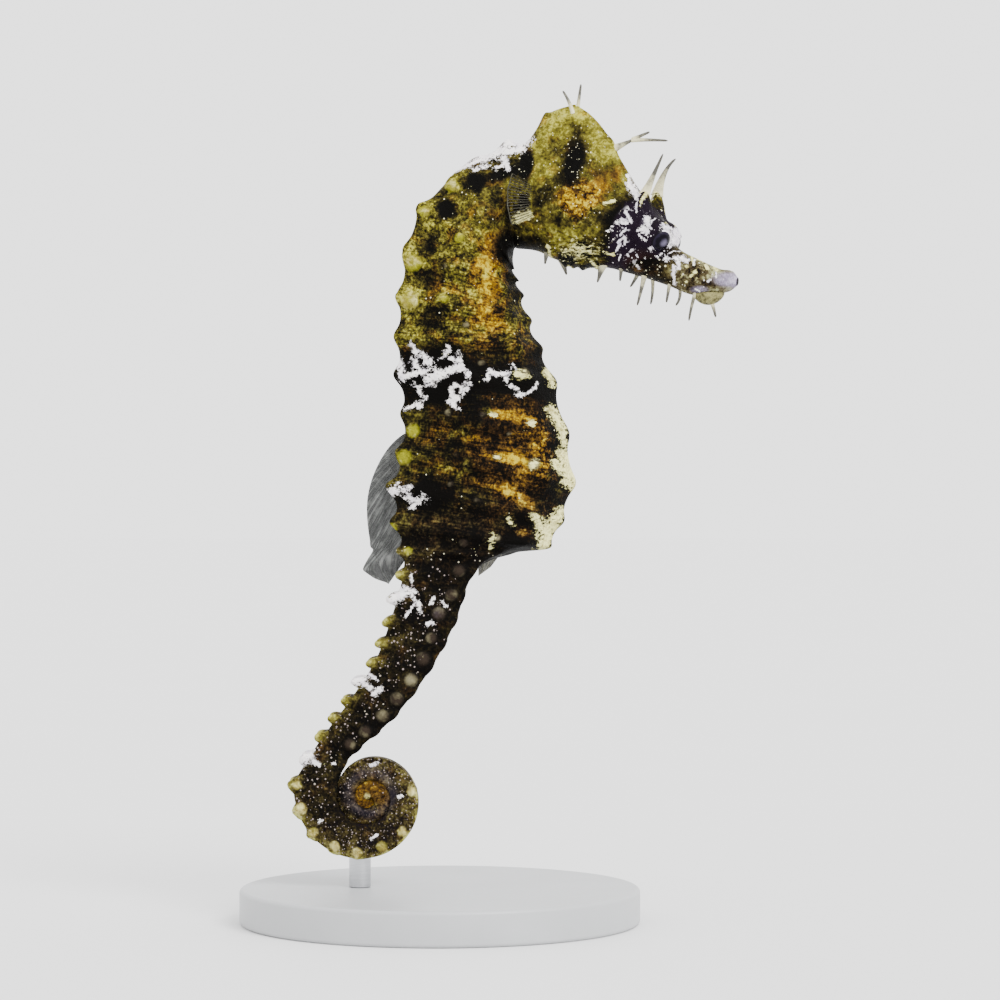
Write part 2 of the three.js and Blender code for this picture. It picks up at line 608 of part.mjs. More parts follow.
const LENGTHS = [
  { name: "neck", from: 0.45, to: 1.5, perRing: 4, perCorner: 3 },
  { name: "trunk_upper", from: 1.5, to: 4.5, perRing: 4, perCorner: 3 },
  { name: "trunk_middle", from: 4.5, to: 8.5, perRing: 4, perCorner: 3 },
  { name: "trunk_lower", from: 8.5, to: 11.5, perRing: 4, perCorner: 3 },
  { name: "tail_1", from: 11.5, to: 16.5, perRing: 4, perCorner: 2 },
  { name: "tail_2", from: 16.5, to: 21.5, perRing: 4, perCorner: 2 },
  { name: "tail_3", from: 21.5, to: 27.5, perRing: 3, perCorner: 2 },
  { name: "tail_4", from: 27.5, to: 35.5, perRing: 1.5, perCorner: 1.5 },
  { name: "tail_5", from: 35.5, to: LAST_RING, perRing: 1.5, perCorner: 1 },
];
for (const length of LENGTHS) {
  const colour = length.name.startsWith("tail") ? COLOURS.dark : COLOURS.hide;
  addPart(length.name, bodyLength(length), colour);
}

// Fins stop a cut short of the body.
const clearOf = (fin, from, to) => fin.subtract(bodyLength({ from, to, perRing: 4, perCorner: 3, swell: CUT }));
addPart("dorsal_fin", clearOf(dorsalFin(), 6.4, 13.4), COLOURS.fin);
addPart("anal_fin", clearOf(analFin(), 8.4, 14.4), COLOURS.fin);
addPart("pectoral_fin_right", clearOf(pectoralFin(-1), -2.0, 3.0), COLOURS.fin);
addPart("pectoral_fin_left", clearOf(pectoralFin(1), -2.0, 3.0), COLOURS.fin);

addPart("stand_base", standBase(), COLOURS.stand);
const coilAround = bodyLength({ from: 21.6, to: 31.4, perRing: 4, perCorner: 3, swell: 0.1 });
addPart("stand_rod", standRod().subtract(coilAround), COLOURS.rod);

export default group;
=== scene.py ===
"""Looks of the lined seahorse, life size, on its plain display stand.

The body is one skin over a surface(ring, corner): "ring" counts the bony rings, 1 to 11 on the
trunk, 12 to 47 on the tail and negative on the head; "corner" runs round a section, 0 along the
back, 1 the upper ridge, 2 the side, 3 the lower ridge, 4 the belly keel, then up to 8.
Forms are worked out in millimetres and put into the meshes in metres.
"""

import logging
import math
from dataclasses import dataclass
from enum import Enum
from typing import Sequence

import bpy
import numpy as np
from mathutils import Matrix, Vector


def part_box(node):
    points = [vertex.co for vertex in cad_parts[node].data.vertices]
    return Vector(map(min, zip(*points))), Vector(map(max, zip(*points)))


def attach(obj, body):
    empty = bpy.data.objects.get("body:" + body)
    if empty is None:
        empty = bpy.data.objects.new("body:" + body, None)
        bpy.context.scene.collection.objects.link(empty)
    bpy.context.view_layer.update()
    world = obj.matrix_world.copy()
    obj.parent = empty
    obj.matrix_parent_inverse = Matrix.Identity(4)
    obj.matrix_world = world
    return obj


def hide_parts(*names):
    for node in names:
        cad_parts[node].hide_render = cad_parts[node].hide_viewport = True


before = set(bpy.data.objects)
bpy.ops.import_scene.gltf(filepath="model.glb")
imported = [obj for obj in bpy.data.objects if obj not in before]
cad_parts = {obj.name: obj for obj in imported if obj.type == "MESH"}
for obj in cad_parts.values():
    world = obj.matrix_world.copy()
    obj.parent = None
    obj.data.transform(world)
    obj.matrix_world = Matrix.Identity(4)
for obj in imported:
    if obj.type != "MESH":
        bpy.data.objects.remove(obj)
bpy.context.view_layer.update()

LOG = logging.getLogger("seahorse")
MM = 0.001
Colour = tuple[float, float, float]
Spot = tuple[float, float, float]


# ---------------------------------------------------------------- numbers
def ease(low: float, high: float, v: np.ndarray) -> np.ndarray:
    """Smooth step: t = (v - low) / (high - low) held to 0..1, then t*t*(3 - 2t)."""
    t = np.clip((v - low) / (high - low), 0.0, 1.0)
    return t * t * (3.0 - 2.0 * t)


def bump(v: np.ndarray) -> np.ndarray:
    """Bell shape: e to the power of minus v squared."""
    return np.exp(-np.square(v))


def mix(a: np.ndarray, b: np.ndarray, t: np.ndarray) -> np.ndarray:
    """Straight blend from a to b as t goes from 0 to 1."""
    return a + (b - a) * t


def linear(red: float, green: float, blue: float) -> Colour:
    """Screen colour from 0 to 1 turned into light: each channel to the power 2.2."""
    return (red ** 2.2, green ** 2.2, blue ** 2.2)


# ---------------------------------------------------------------- meshes
def build_mesh(name: str, points: np.ndarray, faces: list[list[int]],
               values: dict[str, np.ndarray] | None = None) -> bpy.types.Object:
    """Makes a smooth-shaded object from points in millimetres.

    Args:
        name: name of the piece.
        points: N x 3 places in millimetres.
        faces: corner indices of each face.
        values: numbers carried by each point, by attribute name.

    Returns:
        The object, at the origin, with its place in its mesh.
    """
    mesh = bpy.data.meshes.new(name)
    mesh.from_pydata((points * MM).tolist(), [], faces)
    for key, numbers in (values or {}).items():
        layer = mesh.attributes.new(key, "FLOAT", "POINT")
        layer.data.foreach_set("value", np.ascontiguousarray(numbers, dtype=np.float32).ravel())
    mesh.polygons.foreach_set("use_smooth", np.ones(len(mesh.polygons), dtype=bool))
    mesh.update()
    piece = bpy.data.objects.new(name, mesh)
    bpy.context.scene.collection.objects.link(piece)
    return piece


def tube_faces(rows: int, columns: int) -> np.ndarray:
    """Quads of a tube of rows x columns points whose columns close on themselves.

    Args:
        rows: loops along the tube.
        columns: points round each loop.

    Returns:
        Array of quads, row by row.
    """
    i, j = np.meshgrid(np.arange(rows - 1), np.arange(columns), indexing="ij")
    k = (j + 1) % columns
    quads = np.stack([i * columns + j, i * columns + k, (i + 1) * columns + k, (i + 1) * columns + j])
    return quads.reshape(4, -1).T


def cap_faces(columns: int, first: int, middle: int, turned: bool) -> np.ndarray:
    """Triangles from one loop of points to its middle point.

    Args:
        columns: points round the loop.
        first: index of the loop's first point.
        middle: index of its middle point.
        turned: whether the triangles run the other way round.

    Returns:
        Array of triangles.
    """
    j = np.arange(columns)
    pair = [first + (j + 1) % columns, first + j]
    if turned:
        pair.reverse()
    return np.stack([*pair, np.full(columns, middle)]).T


def closed_tube(loops: np.ndarray, start: int = 0) -> tuple[np.ndarray, list[list[int]]]:
    """Closes a stack of loops with a middle point at each end.

    Args:
        loops: rows x columns x 3 points.
        start: index of the first point in the mesh that they join.

    Returns:
        The points and the faces. All faces are turned round if the signed volume, the sum of
        a . (b x c) over the triangles, is below 0, so they point outward.
    """
    rows, columns = loops.shape[:2]
    ends = np.stack([loops[0].mean(axis=0), loops[-1].mean(axis=0)])
    points = np.concatenate([loops.reshape(-1, 3), ends])
    count = rows * columns
    quads = tube_faces(rows, columns)
    caps = np.concatenate([cap_faces(columns, 0, count, False),
                           cap_faces(columns, count - columns, count + 1, True)])
    triangles = np.concatenate([quads[:, [0, 1, 2]], quads[:, [0, 2, 3]], caps])
    a, b, c = (points[triangles[:, n]] for n in range(3))
    if np.einsum("ij,ij->", a, np.cross(b, c)) < 0.0:
        quads, caps = quads[:, ::-1], caps[:, ::-1]
    return points, [*(quads + start).tolist(), *(caps + start).tolist()]


# ---------------------------------------------------------------- shader maths
class Value:
    """A number socket that takes part in arithmetic."""

    def __init__(self, maker: "Shader", socket: bpy.types.NodeSocket) -> None:
        """Wraps a socket of the maker's node tree."""
        self.maker = maker
        self.socket = socket

    def _math(self, operation: str, *terms: "Value | float", clamp: bool = False) -> "Value":
        """One Math node.

        Args:
            operation: the node's operation.
            terms: what goes into its sockets, in order.
            clamp: whether the result is held to 0..1.

        Returns:
            Its result.
        """
        settings = {"operation": operation, "use_clamp": clamp}
        node = self.maker.node("ShaderNodeMath", settings, dict(enumerate(terms)))
        return Value(self.maker, node.outputs[0])

    def __add__(self, other: "Value | float") -> "Value":
        """self + other."""
        return self._math("ADD", self, other)

    def __sub__(self, other: "Value | float") -> "Value":
        """self - other."""
        return self._math("SUBTRACT", self, other)

    def __rsub__(self, other: float) -> "Value":
        """other - self."""
        return self._math("SUBTRACT", other, self)

    def __mul__(self, other: "Value | float") -> "Value":
        """self times other."""
        return self._math("MULTIPLY", self, other)

    def __lt__(self, other: "Value | float") -> "Value":
        """1 where self is under other."""
        return self._math("LESS_THAN", self, other)

    def at_most(self, other: "Value | float") -> "Value":
        """The smaller of the two."""
        return self._math("MINIMUM", self, other)

    def at_least(self, other: "Value | float") -> "Value":
        """The larger of the two."""
        return self._math("MAXIMUM", self, other)

    def held(self) -> "Value":
        """self held to 0..1."""
        return self._math("ADD", self, 0.0, clamp=True)

    def step(self, low: float, high: float) -> "Value":
        """Smooth step from 0 to 1.

        Args:
            low: where it leaves 0.
            high: where it reaches 1.

        Returns:
            The step.
        """
        settings = {"interpolation_type": "SMOOTHSTEP"}
        node = self.maker.node("ShaderNodeMapRange", settings, {0: self, 1: low, 2: high, 3: 0.0, 4: 1.0})
        return Value(self.maker, node.outputs[0])

    __radd__ = __add__
    __rmul__ = __mul__


class Shader:
    """Makes one material's nodes."""

    def __init__(self, name: str) -> None:
        """Starts an empty material.

        Args:
            name: the material's name.
        """
        self.material = bpy.data.materials.new(name)
        self.material.use_nodes = True
        self.tree = self.material.node_tree
        self.tree.nodes.clear()
        self.output = self.tree.nodes.new("ShaderNodeOutputMaterial")

    def node(self, kind: str, settings: dict | None = None, inputs: dict | None = None) -> bpy.types.Node:
        """Adds one node.

        Args:
            kind: the node's type.
            settings: properties, or "stops" for a colour ramp, set before the sockets.
            inputs: values or links of its sockets, by name or index.

        Returns:
            The node.
        """
        node = self.tree.nodes.new(kind)
        for key, setting in (settings or {}).items():
            if key == "stops":
                ramp = node.color_ramp
                while len(ramp.elements) < len(setting):
                    ramp.elements.new(0.5)
                for element, (place, colour) in zip(ramp.elements, setting):
                    element.position = place
                    element.color = (*colour, 1.0)
            else:
                setattr(node, key, setting)
        for key, given in (inputs or {}).items():
            socket = node.inputs[key]
            if isinstance(given, Value):
                given = given.socket
            if isinstance(given, bpy.types.NodeSocket):
                self.tree.links.new(given, socket)
            elif isinstance(given, tuple) and socket.type == "RGBA":
                socket.default_value = (*given, 1.0)
            else:
                socket.default_value = given
        return node

    def place(self) -> bpy.types.NodeSocket:
        """Object coordinates in millimetres."""
        coords = self.node("ShaderNodeTexCoord").outputs["Object"]
        return self.scaled(coords, (1000.0, 1000.0, 1000.0))

    def scaled(self, vector: bpy.types.NodeSocket, by: Colour) -> bpy.types.NodeSocket:
        """A vector times another, axis by axis."""
        return self.node("ShaderNodeVectorMath", {"operation": "MULTIPLY"}, {0: vector, 1: by}).outputs[0]

    def carried(self, name: str) -> Value:
        """A number that the mesh's points carry."""
        node = self.node("ShaderNodeAttribute", {"attribute_name": name})
        return Value(self, node.outputs["Fac"])

    def vector(self, x: Value | float, y: Value | float, z: Value | float) -> bpy.types.NodeSocket:
        """Joins three numbers into a vector."""
        return self.node("ShaderNodeCombineXYZ", None, {0: x, 1: y, 2: z}).outputs[0]

    def noise(self, vector: bpy.types.NodeSocket, scale: float, detail: float = 3.0,
              rough: float = 0.55, distort: float = 0.0) -> Value:
        """Cloudy noise around 0.5.

        Args:
            vector: where it is read.
            scale: features for each unit of the vector.
            detail: finer octaves on top.
            rough: strength of each octave beside the one before.
            distort: how far it swirls.

        Returns:
            The noise.
        """
        node = self.node("ShaderNodeTexNoise", None, {
            "Vector": vector, "Scale": scale, "Detail": detail, "Roughness": rough, "Distortion": distort})
        return Value(self, node.outputs[0])

    def swing(self, vector: bpy.types.NodeSocket, scale: float, detail: float = 3.0,
              rough: float = 0.55, distort: float = 0.0) -> Value:
        """The same noise around 0."""
        return self.noise(vector, scale, detail, rough, distort) - 0.5

    def ramp(self, share: Value, stops: tuple[tuple[float, Colour], ...]) -> bpy.types.NodeSocket:
        """Colour along a scale of stops."""
        return self.node("ShaderNodeValToRGB", {"stops": stops}, {0: share}).outputs[0]

    def cells(self, vector: bpy.types.NodeSocket, scale: float) -> tuple[Value, Value]:
        """Cells scattered in space.

        Args:
            vector: where they are read.
            scale: cells for each unit of the vector.

        Returns:
            Distance to the nearest cell's centre, and that cell's own random number.
        """
        node = self.node("ShaderNodeTexVoronoi", None, {"Vector": vector, "Scale": scale})
        chance = self.node("ShaderNodeSeparateColor", None, {0: node.outputs["Color"]})
        return Value(self, node.outputs["Distance"]), Value(self, chance.outputs[0])

    def blend(self, under: "bpy.types.NodeSocket | Colour", over: "bpy.types.NodeSocket | Colour",
              share: Value | float) -> bpy.types.NodeSocket:
        """Colour "under" giving way to colour "over" by share."""
        node = self.node("ShaderNodeMix", {"data_type": "RGBA"}, {0: share, 6: under, 7: over})
        return node.outputs[2]

    def surface(self, **sockets: object) -> bpy.types.Material:
        """Ends the material in a Principled surface.

        Args:
            sockets: the shader's sockets, with _ for each space; "bump_height", in millimetres,
                goes through a Bump node to Normal.

        Returns:
            The finished material.
        """
        height = sockets.pop("bump_height", None)
        if height is not None:
            raised = self.node("ShaderNodeBump", None, {"Strength": 1.0, "Distance": MM, "Height": height})
            sockets["Normal"] = raised.outputs[0]
        named = {key.replace("_", " "): given for key, given in sockets.items()}
        shader = self.node("ShaderNodeBsdfPrincipled", None, named)
        self.tree.links.new(shader.outputs[0], self.output.inputs[0])
        return self.material


# ---------------------------------------------------------------- body form
@dataclass(frozen=True)
class Landmark:
    """Back edge and belly edge, as x and z, and half width of the section at one ring."""

    ring: float
    back: tuple[float, float]
    belly: tuple[float, float]
    half: float


LANDMARKS = (
    Landmark(-9.0, (36.3, 76.8), (36.2, 75.9), 0.6),
    Landmark(-8.6, (35.6, 77.6), (35.2, 75.2), 1.3),
    Landmark(-7.7, (34.1, 77.9), (33.4, 75.0), 1.6),
    Landmark(-6.6, (31.7, 79.0), (30.7, 74.9), 1.8),
    Landmark(-5.5, (29.4, 80.2), (27.9, 76.0), 2.1),
    Landmark(-4.7, (28.3, 81.5), (25.6, 76.8), 2.7),
    Landmark(-3.9, (26.8, 84.6), (23.0, 77.6), 3.1),
    Landmark(-3.1, (24.4, 87.4), (20.4, 78.3), 3.4),
    Landmark(-2.3, (22.1, 91.1), (18.3, 78.3), 3.6),
    Landmark(-1.6, (19.5, 95.4), (16.2, 78.5), 3.7),
    Landmark(-1.0, (16.5, 97.6), (14.1, 79.3), 3.8),
    Landmark(-0.5, (13.0, 96.8), (12.2, 80.3), 3.9),
    Landmark(0.0, (10.4, 93.6), (10.3, 80.7), 3.8),
    Landmark(0.4, (7.7, 92.8), (9.1, 80.6), 3.7),
    Landmark(1.0, (2.2, 90.0), (8.6, 79.0), 4.1),
    Landmark(2.0, (-1.9, 85.4), (8.9, 77.4), 4.4),
    Landmark(3.0, (-3.6, 80.3), (9.4, 75.5), 4.7),
    Landmark(4.0, (-4.3, 74.9), (10.3, 72.4), 4.9),
    Landmark(5.0, (-4.6, 70.1), (11.6, 69.0), 5.1),
    Landmark(6.0, (-4.4, 65.5), (13.3, 64.9), 5.3),
    Landmark(7.0, (-3.8, 60.8), (14.8, 58.8), 5.5),
    Landmark(8.0, (-4.2, 56.3), (15.6, 52.8), 5.5),
    Landmark(9.0, (-4.9, 52.0), (14.2, 48.2), 5.2),
    Landmark(10.0, (-4.7, 47.8), (12.5, 45.0), 4.6),
    Landmark(11.0, (-4.2, 44.5), (7.8, 44.1), 3.9),
    Landmark(12.0, (-4.3, 41.8), (4.1, 41.9), 3.5),
    Landmark(14.0, (-5.9, 36.1), (1.8, 36.0), 3.2),
    Landmark(16.0, (-7.8, 31.2), (-1.1, 30.5), 3.0),
    Landmark(18.0, (-10.8, 26.6), (-5.4, 24.8), 2.8),
    Landmark(20.0, (-14.0, 22.3), (-9.8, 20.8), 2.6),
    Landmark(21.0, (-15.7, 19.7), (-11.5, 18.8), 2.5),
)

# Section outlines, depth and width as shares of the half sizes, at corners 0 to 4.
SHAPES = {
    "snout": ((1, 0), (0.72, 0.7), (0, 1), (-0.72, 0.7), (-1, 0)),
    "face": ((1, 0), (0.82, 0.6), (0.05, 1), (-0.72, 0.72), (-1, 0)),
    "crown": ((1, 0), (0.6, 0.34), (-0.15, 0.9), (-0.8, 0.72), (-1, 0)),
    "neck": ((1, 0), (0.84, 0.44), (0, 1), (-0.78, 0.62), (-1, 0)),
    "trunk": ((0.96, 0), (1, 0.5), (0.1, 1), (-0.68, 0.64), (-1, 0)),
    "tail": ((0.95, 0), (0.98, 0.88), (0, 0.96), (-0.98, 0.88), (-0.95, 0)),
}
# New outline, the rings where it starts and is whole, its crease share.
SHAPE_CHANGES = (
    ("face", -5.8, -4.4, 0.1),
    ("crown", -3.5, -2.0, 0.1),
    ("neck", -0.7, 0.6, 0.2),
    ("trunk", 0.7, 2.6, 0.5),
    ("tail", 10.2, 12.4, 0.5),
)


@dataclass(frozen=True)
class Coil:
    """The tail's spiral: outer radius = radius * e^(-shrink * turn)."""

    centre: tuple[float, float] = (-8.48, 15.02)
    radius: float = 8.82
    shrink: float = 0.13
    first_ring: int = 22
    first_angle: float = -10.0
    step_angle: float = 21.0
    step_growth: float = 0.45
    last_ring: int = 49
    # Degrees at which the inner edge closes up and the tip narrows, and how long each takes.
    last_turn: float = 450.0
    closing: float = 130.0
    tip_from: float = 760.0
    narrowing: float = 100.0
    tip_share: float = 0.8
    width_to_depth: float = 0.5
    nest_gap: float = -0.06

    def marks(self) -> np.ndarray:
        """Landmarks of the coil.

        Returns:
            Rows of ring, back x, back z, belly x, belly z, half width. The angle is
            first + n * step + n * n * growth; the belly lies a gap outside the next turn.
        """
        ring = np.arange(self.first_ring, self.last_ring + 1, dtype=float)
        n = ring - self.first_ring
        degrees = self.first_angle + n * self.step_angle + n * n * self.step_growth
        turn = np.radians(degrees)
        taper = mix(1.0, self.tip_share, ease(self.tip_from, self.tip_from + self.narrowing, degrees))
        outer = self.radius * np.exp(-self.shrink * turn) * taper
        following = self.radius * np.exp(-self.shrink * (turn + 2.0 * math.pi))
        closed = ease(self.last_turn, self.last_turn + self.closing, degrees)
        inner = (following + self.nest_gap) * (1.0 - closed)
        across, up = -np.cos(turn), -np.sin(turn)
        x, z = self.centre
        half = (outer - inner) * self.width_to_depth
        return np.stack([ring, x + outer * across, z + outer * up, x + inner * across, z + inner * up,
                         half], axis=1)


@dataclass(frozen=True)
class Relief:
    """Bony crests, knobs and spines above the plain sections, in millimetres."""

    crest: tuple[float, float] = (0.28, 0.12)
    knob_along: float = 0.2
    knob_round: float = 0.3
    thumb: float = 0.27
    upper: tuple[float, float] = (0.6, 1.05)
    side: tuple[float, float] = (0.35, 0.0)
    lower: tuple[float, float] = (0.35, 0.22)
    keel: tuple[float, float] = (0.45, 0.0)
    tall_rings: tuple[tuple[int, float], ...] = (
        (6, 1.4), (9, 2.2), (10, 1.7), (13, 1.4), (17, 1.4), (21, 1.3))
    # Rings between which the relief starts, turns to the tail's kind, and fades in the coil.
    begin: tuple[float, float] = (0.3, 1.2)
    to_tail: tuple[float, float] = (10.8, 12.2)
    fade: tuple[float, float] = (18.5, 27.5)
    # Small bosses of nape, crown and chin: ring, corner, height, spread along and round.
    bosses: tuple[tuple[float, float, float, float, float], ...] = (
        (0.34, 0.0, 1.0, 0.14, 0.7), (0.74, 0.0, 0.5, 0.14, 0.7), (-0.43, 0.0, 0.5, 0.09, 0.6),
        (-0.98, 0.0, 0.25, 0.1, 0.6), (-2.0, 0.0, 0.42, 0.14, 0.6), (-1.95, 0.7, 0.4, 0.22, 0.3),
        (-1.1, 0.7, 0.35, 0.22, 0.3), (-0.62, 0.7, 0.55, 0.22, 0.3), (-1.3, 4.0, 0.33, 0.12, 0.5),
        (-1.62, 4.0, 0.2, 0.08, 0.5), (-2.0, 4.0, 0.28, 0.12, 0.5), (-2.65, 4.0, 0.22, 0.12, 0.5))
    # Chin flaps: middle x and z, width, height; then pitch, sway and the sway's pitch of each wave.
    chin: tuple[float, float, float, float] = (17.4, 79.8, 3.8, 1.4)
    chin_down: tuple[float, float, float] = (4.2, 1.2, 1.7)
    chin_along: tuple[float, float, float] = (1.9, 0.8, 2.3)
    chin_fold: float = 0.2
    # Seam behind the gill cover: its ring, width and depth, and the corners over which it starts.
    seam_ring: float = 0.45
    seam_width: float = 0.12
    seam_depth: float = 0.35
    seam_from: tuple[float, float] = (0.4, 1.2)

    def presence(self, ring: np.ndarray) -> np.ndarray:
        """1 on the ringed body, easing to 0 at the neck and in the coil."""
        return ease(*self.begin, ring) * (1.0 - ease(*self.fade, ring))

    def knobs(self, ring: np.ndarray, corner: np.ndarray) -> dict[str, np.ndarray]:
        """Height of the knobs on each ridge.

        Args:
            ring: ring numbers.
            corner: corners from 0 to 4.

        Returns:
            For each ridge, its size times a bell (a dome on the tail) along the rings times a
            bell round the body.
        """
        nearest = np.round(ring)
        tail = ease(*self.to_tail, ring)
        pointed = bump((ring - nearest) / (self.knob_along * math.sqrt(2.0)))
        thumb = np.sqrt(np.maximum(0.0, 1.0 - np.square((ring - nearest) / self.thumb)))
        along = mix(pointed, thumb, tail) * self.presence(ring)
        tall = np.ones_like(ring)
        for at, factor in self.tall_rings:
            tall = np.where(nearest == at, factor, tall)
        ridges = {"upper": (1, self.upper, tall), "side": (2, self.side, 1.0),
                  "lower": (3, self.lower, 1.0), "keel": (4, self.keel, 1.0)}
        return {name: mix(size[0], size[1], tail) * factor * along * bump((corner - at) / self.knob_round)
                for name, (at, size, factor) in ridges.items()}

    def crests(self, ring: np.ndarray) -> np.ndarray:
        """Height of each ring's crest: cosine of the distance to the ring, to the fourth power."""
        size = mix(self.crest[0], self.crest[1], ease(*self.to_tail, ring))
        return size * np.cos(np.pi * (ring - np.round(ring))) ** 4 * self.presence(ring)

    def height(self, ring: np.ndarray, corner: np.ndarray) -> np.ndarray:
        """The whole relief but for the chin.

        Args:
            ring: ring numbers.
            corner: corners from 0 to 4.

        Returns:
            Sum of crests, knobs and bosses, less the seam behind the gill cover.
        """
        total = self.crests(ring) + sum(self.knobs(ring, corner).values())
        for at, level, size, along, around in self.bosses:
            total = total + size * bump((ring - at) / along) * bump((corner - level) / around)
        seam = bump((ring - self.seam_ring) / self.seam_width) * ease(*self.seam_from, corner)
        return total - self.seam_depth * seam

    def folds(self, x: np.ndarray, z: np.ndarray) -> np.ndarray:
        """Layered flaps of the chin.

        Args:
            x: side-view x.
            z: side-view z.

        Returns:
            A swaying sine down times a swaying sine along, within a bell.
        """
        at_x, at_z, wide, high = self.chin
        inside = bump((x - at_x) / wide) * bump((z - at_z) / high)
        pitch, sway, sway_pitch = self.chin_down
        down = np.sin(pitch * z + sway * np.sin(sway_pitch * x))
        pitch, sway, sway_pitch = self.chin_along
        return self.chin_fold * inside * down * np.sin(pitch * x + sway * np.sin(sway_pitch * z))


@dataclass(frozen=True)
class HeadTurn:
    """The head's turn about an upright line through the neck."""

    angle: float = 16.0
    pivot_x: float = 9.0
    start: float = 1.5
    whole: float = -1.5

    def apply(self, points: np.ndarray, share: np.ndarray | float) -> np.ndarray:
        """Turns points about the upright line.

        Args:
            points: places, any shape ending in 3.
            share: how much of the angle each takes.

        Returns:
            The turned points.
        """
        angle = np.radians(self.angle) * share
        x, y = points[..., 0] - self.pivot_x, points[..., 1]
        turned_x = self.pivot_x + x * np.cos(angle) + y * np.sin(angle)
        turned_y = -x * np.sin(angle) + y * np.cos(angle)
        return np.stack([turned_x, turned_y, points[..., 2]], axis=-1)


@dataclass(frozen=True)
class EyeForm:
    """One eyeball and the turret of skin round it, in the head's own frame."""

    x: float = 26.7
    z: float = 81.85
    out: float = 2.38
    radius: float = 1.95
    turret_reach: float = 3.2
    turret_height: float = 1.3
    # Lid: thickness, its raised rim and the rim's width in degrees, softness of the wrap.
    lid: float = 0.12
    lid_rim: float = 0.14
    lid_rim_width: float = 6.0
    soft: float = 0.25
    # Distance past the ball at which the skin lets go, and how far it sinks inside the opening.
    release: tuple[float, float] = (0.9, 1.6)
    sink: float = 0.35
    opening: float = 41.0
    opening_edge: tuple[float, float] = (-6.0, 2.0)
    gaze: tuple[float, float, float] = (0.70, 0.58, -0.5)

    def centre(self, side: int) -> np.ndarray:
        """Centre of the eyeball on one side, -1 right and 1 left."""
        return np.array([self.x, side * self.out, self.z])

    def towards(self, side: int) -> np.ndarray:
        """Unit direction of the gaze on one side."""
        vector = np.array([self.gaze[0], side * self.gaze[1], self.gaze[2]])
        return vector / np.linalg.norm(vector)


@dataclass(frozen=True)
class GillCover:
    """The swell of the gill cover, seen from the side."""

    x: float = 15.3
    z: float = 84.0
    wide: float = 4.6
    high: float = 4.0
    height: float = 0.45


@dataclass(frozen=True)
class Brow:
    """The blunt spine above one eye: foot and top as x and z, and how far out each lies."""

    side: int
    foot: tuple[float, float]
    top: tuple[float, float]
    foot_out: float = 2.0
    top_out: float = 1.65
    radius: float = 1.25
    # Slope from top to skin as shares of the radius, how far below its foot it starts, its dome.
    slope: tuple[float, float] = (0.25, 1.15)
    start: tuple[float, float] = (-1.2, -0.2)
    dome: float = 0.5

    def raised(self, points: np.ndarray) -> np.ndarray:
        """Draws the skin up into the spine.

        Args:
            points: skin before the head turns.

        Returns:
            Points drawn to the top by a share that is 1 on the axis and eases to 0 at the radius.
        """
        away = np.hypot(points[..., 0] - self.foot[0], points[..., 1] - self.side * self.foot_out)
        above = ease(self.foot[1] + self.start[0], self.foot[1] + self.start[1], points[..., 2])
        share = (1.0 - ease(*self.slope, away / self.radius)) * above
        shift_x = self.top[0] - self.foot[0]
        shift_y = self.side * (self.top_out - self.foot_out)
        goal = np.stack([points[..., 0] + shift_x, points[..., 1] + shift_y,
                         self.top[1] - self.dome * np.square(away)], axis=-1)
        return mix(points, goal, share[..., None])


BROWS = (Brow(-1, (25.2, 83.8), (25.4, 87.1)), Brow(1, (26.1, 84.0), (26.1, 87.4)))


@dataclass(frozen=True)
class Beads:
    """Small round tubercles on both flanks: x, z and radius of each, seen from the side."""

    marks: tuple[tuple[float, float, float], ...]

    def share(self, x: np.ndarray, z: np.ndarray) -> np.ndarray:
        """How deep each place lies in a tubercle.

        Args:
            x: side-view x.
            z: side-view z.

        Returns:
            1 - (distance / radius) squared for the nearest tubercle, never below -1.
        """
        best = np.full_like(x, -1.0)
        for at_x, at_z, radius in self.marks:
            best = np.maximum(best, 1.0 - (np.square(x - at_x) + np.square(z - at_z)) / (radius * radius))
        return best


# Bony beads on the flank, then those along the tail.
TUBERCLES = Beads((
    (11.2, 54.9, 0.78), (6.8, 55.7, 0.42), (1.6, 56.1, 0.36), (1.4, 52.5, 0.36), (2.9, 45.5, 0.54),
    (6.8, 46.1, 0.5), (10.0, 65.7, 0.72), (1.0, 61.0, 0.48), (0.8, 78.4, 0.36), (8.4, 58.5, 0.36),
    (5.2, 60.8, 0.36), (4.6, 50.6, 0.36), (9.9, 56.4, 0.3), (5.0, 66.9, 0.4), (3.2, 71.4, 0.4),
    (2.3, 42.2, 0.76), (1.4, 39.3, 0.76), (-0.1, 37.1, 0.86), (-1.0, 34.2, 0.7), (-2.0, 31.7, 0.84),
    (-3.4, 29.2, 0.84), (-5.1, 26.9, 0.84), (-6.8, 24.9, 0.8), (-8.9, 23.0, 0.74), (-10.7, 21.5, 0.72),
))

# Lime or golden tips on the back, the tail and round the coil.
LIME_TIPS = Beads((
    (1.5, 88.1, 0.85), (-1.8, 85.1, 0.8), (-3.1, 78.9, 1.15), (-3.5, 74.4, 1.15), (2.4, 81.7, 0.66),
    (0.5, 74.6, 0.7), (-3.1, 58.9, 0.9), (-4.2, 55.7, 1.0), (-5.7, 47.3, 0.7), (-3.8, 44.6, 0.6),
    (-17.0, 16.6, 0.62), (-16.5, 13.8, 0.78), (-15.1, 11.0, 0.68), (-12.5, 9.3, 0.68), (-9.9, 8.5, 0.72),
    (-6.9, 9.2, 0.75), (-4.5, 11.0, 0.62), (-3.4, 15.8, 0.62), (-8.7, 15.2, 0.42),
))


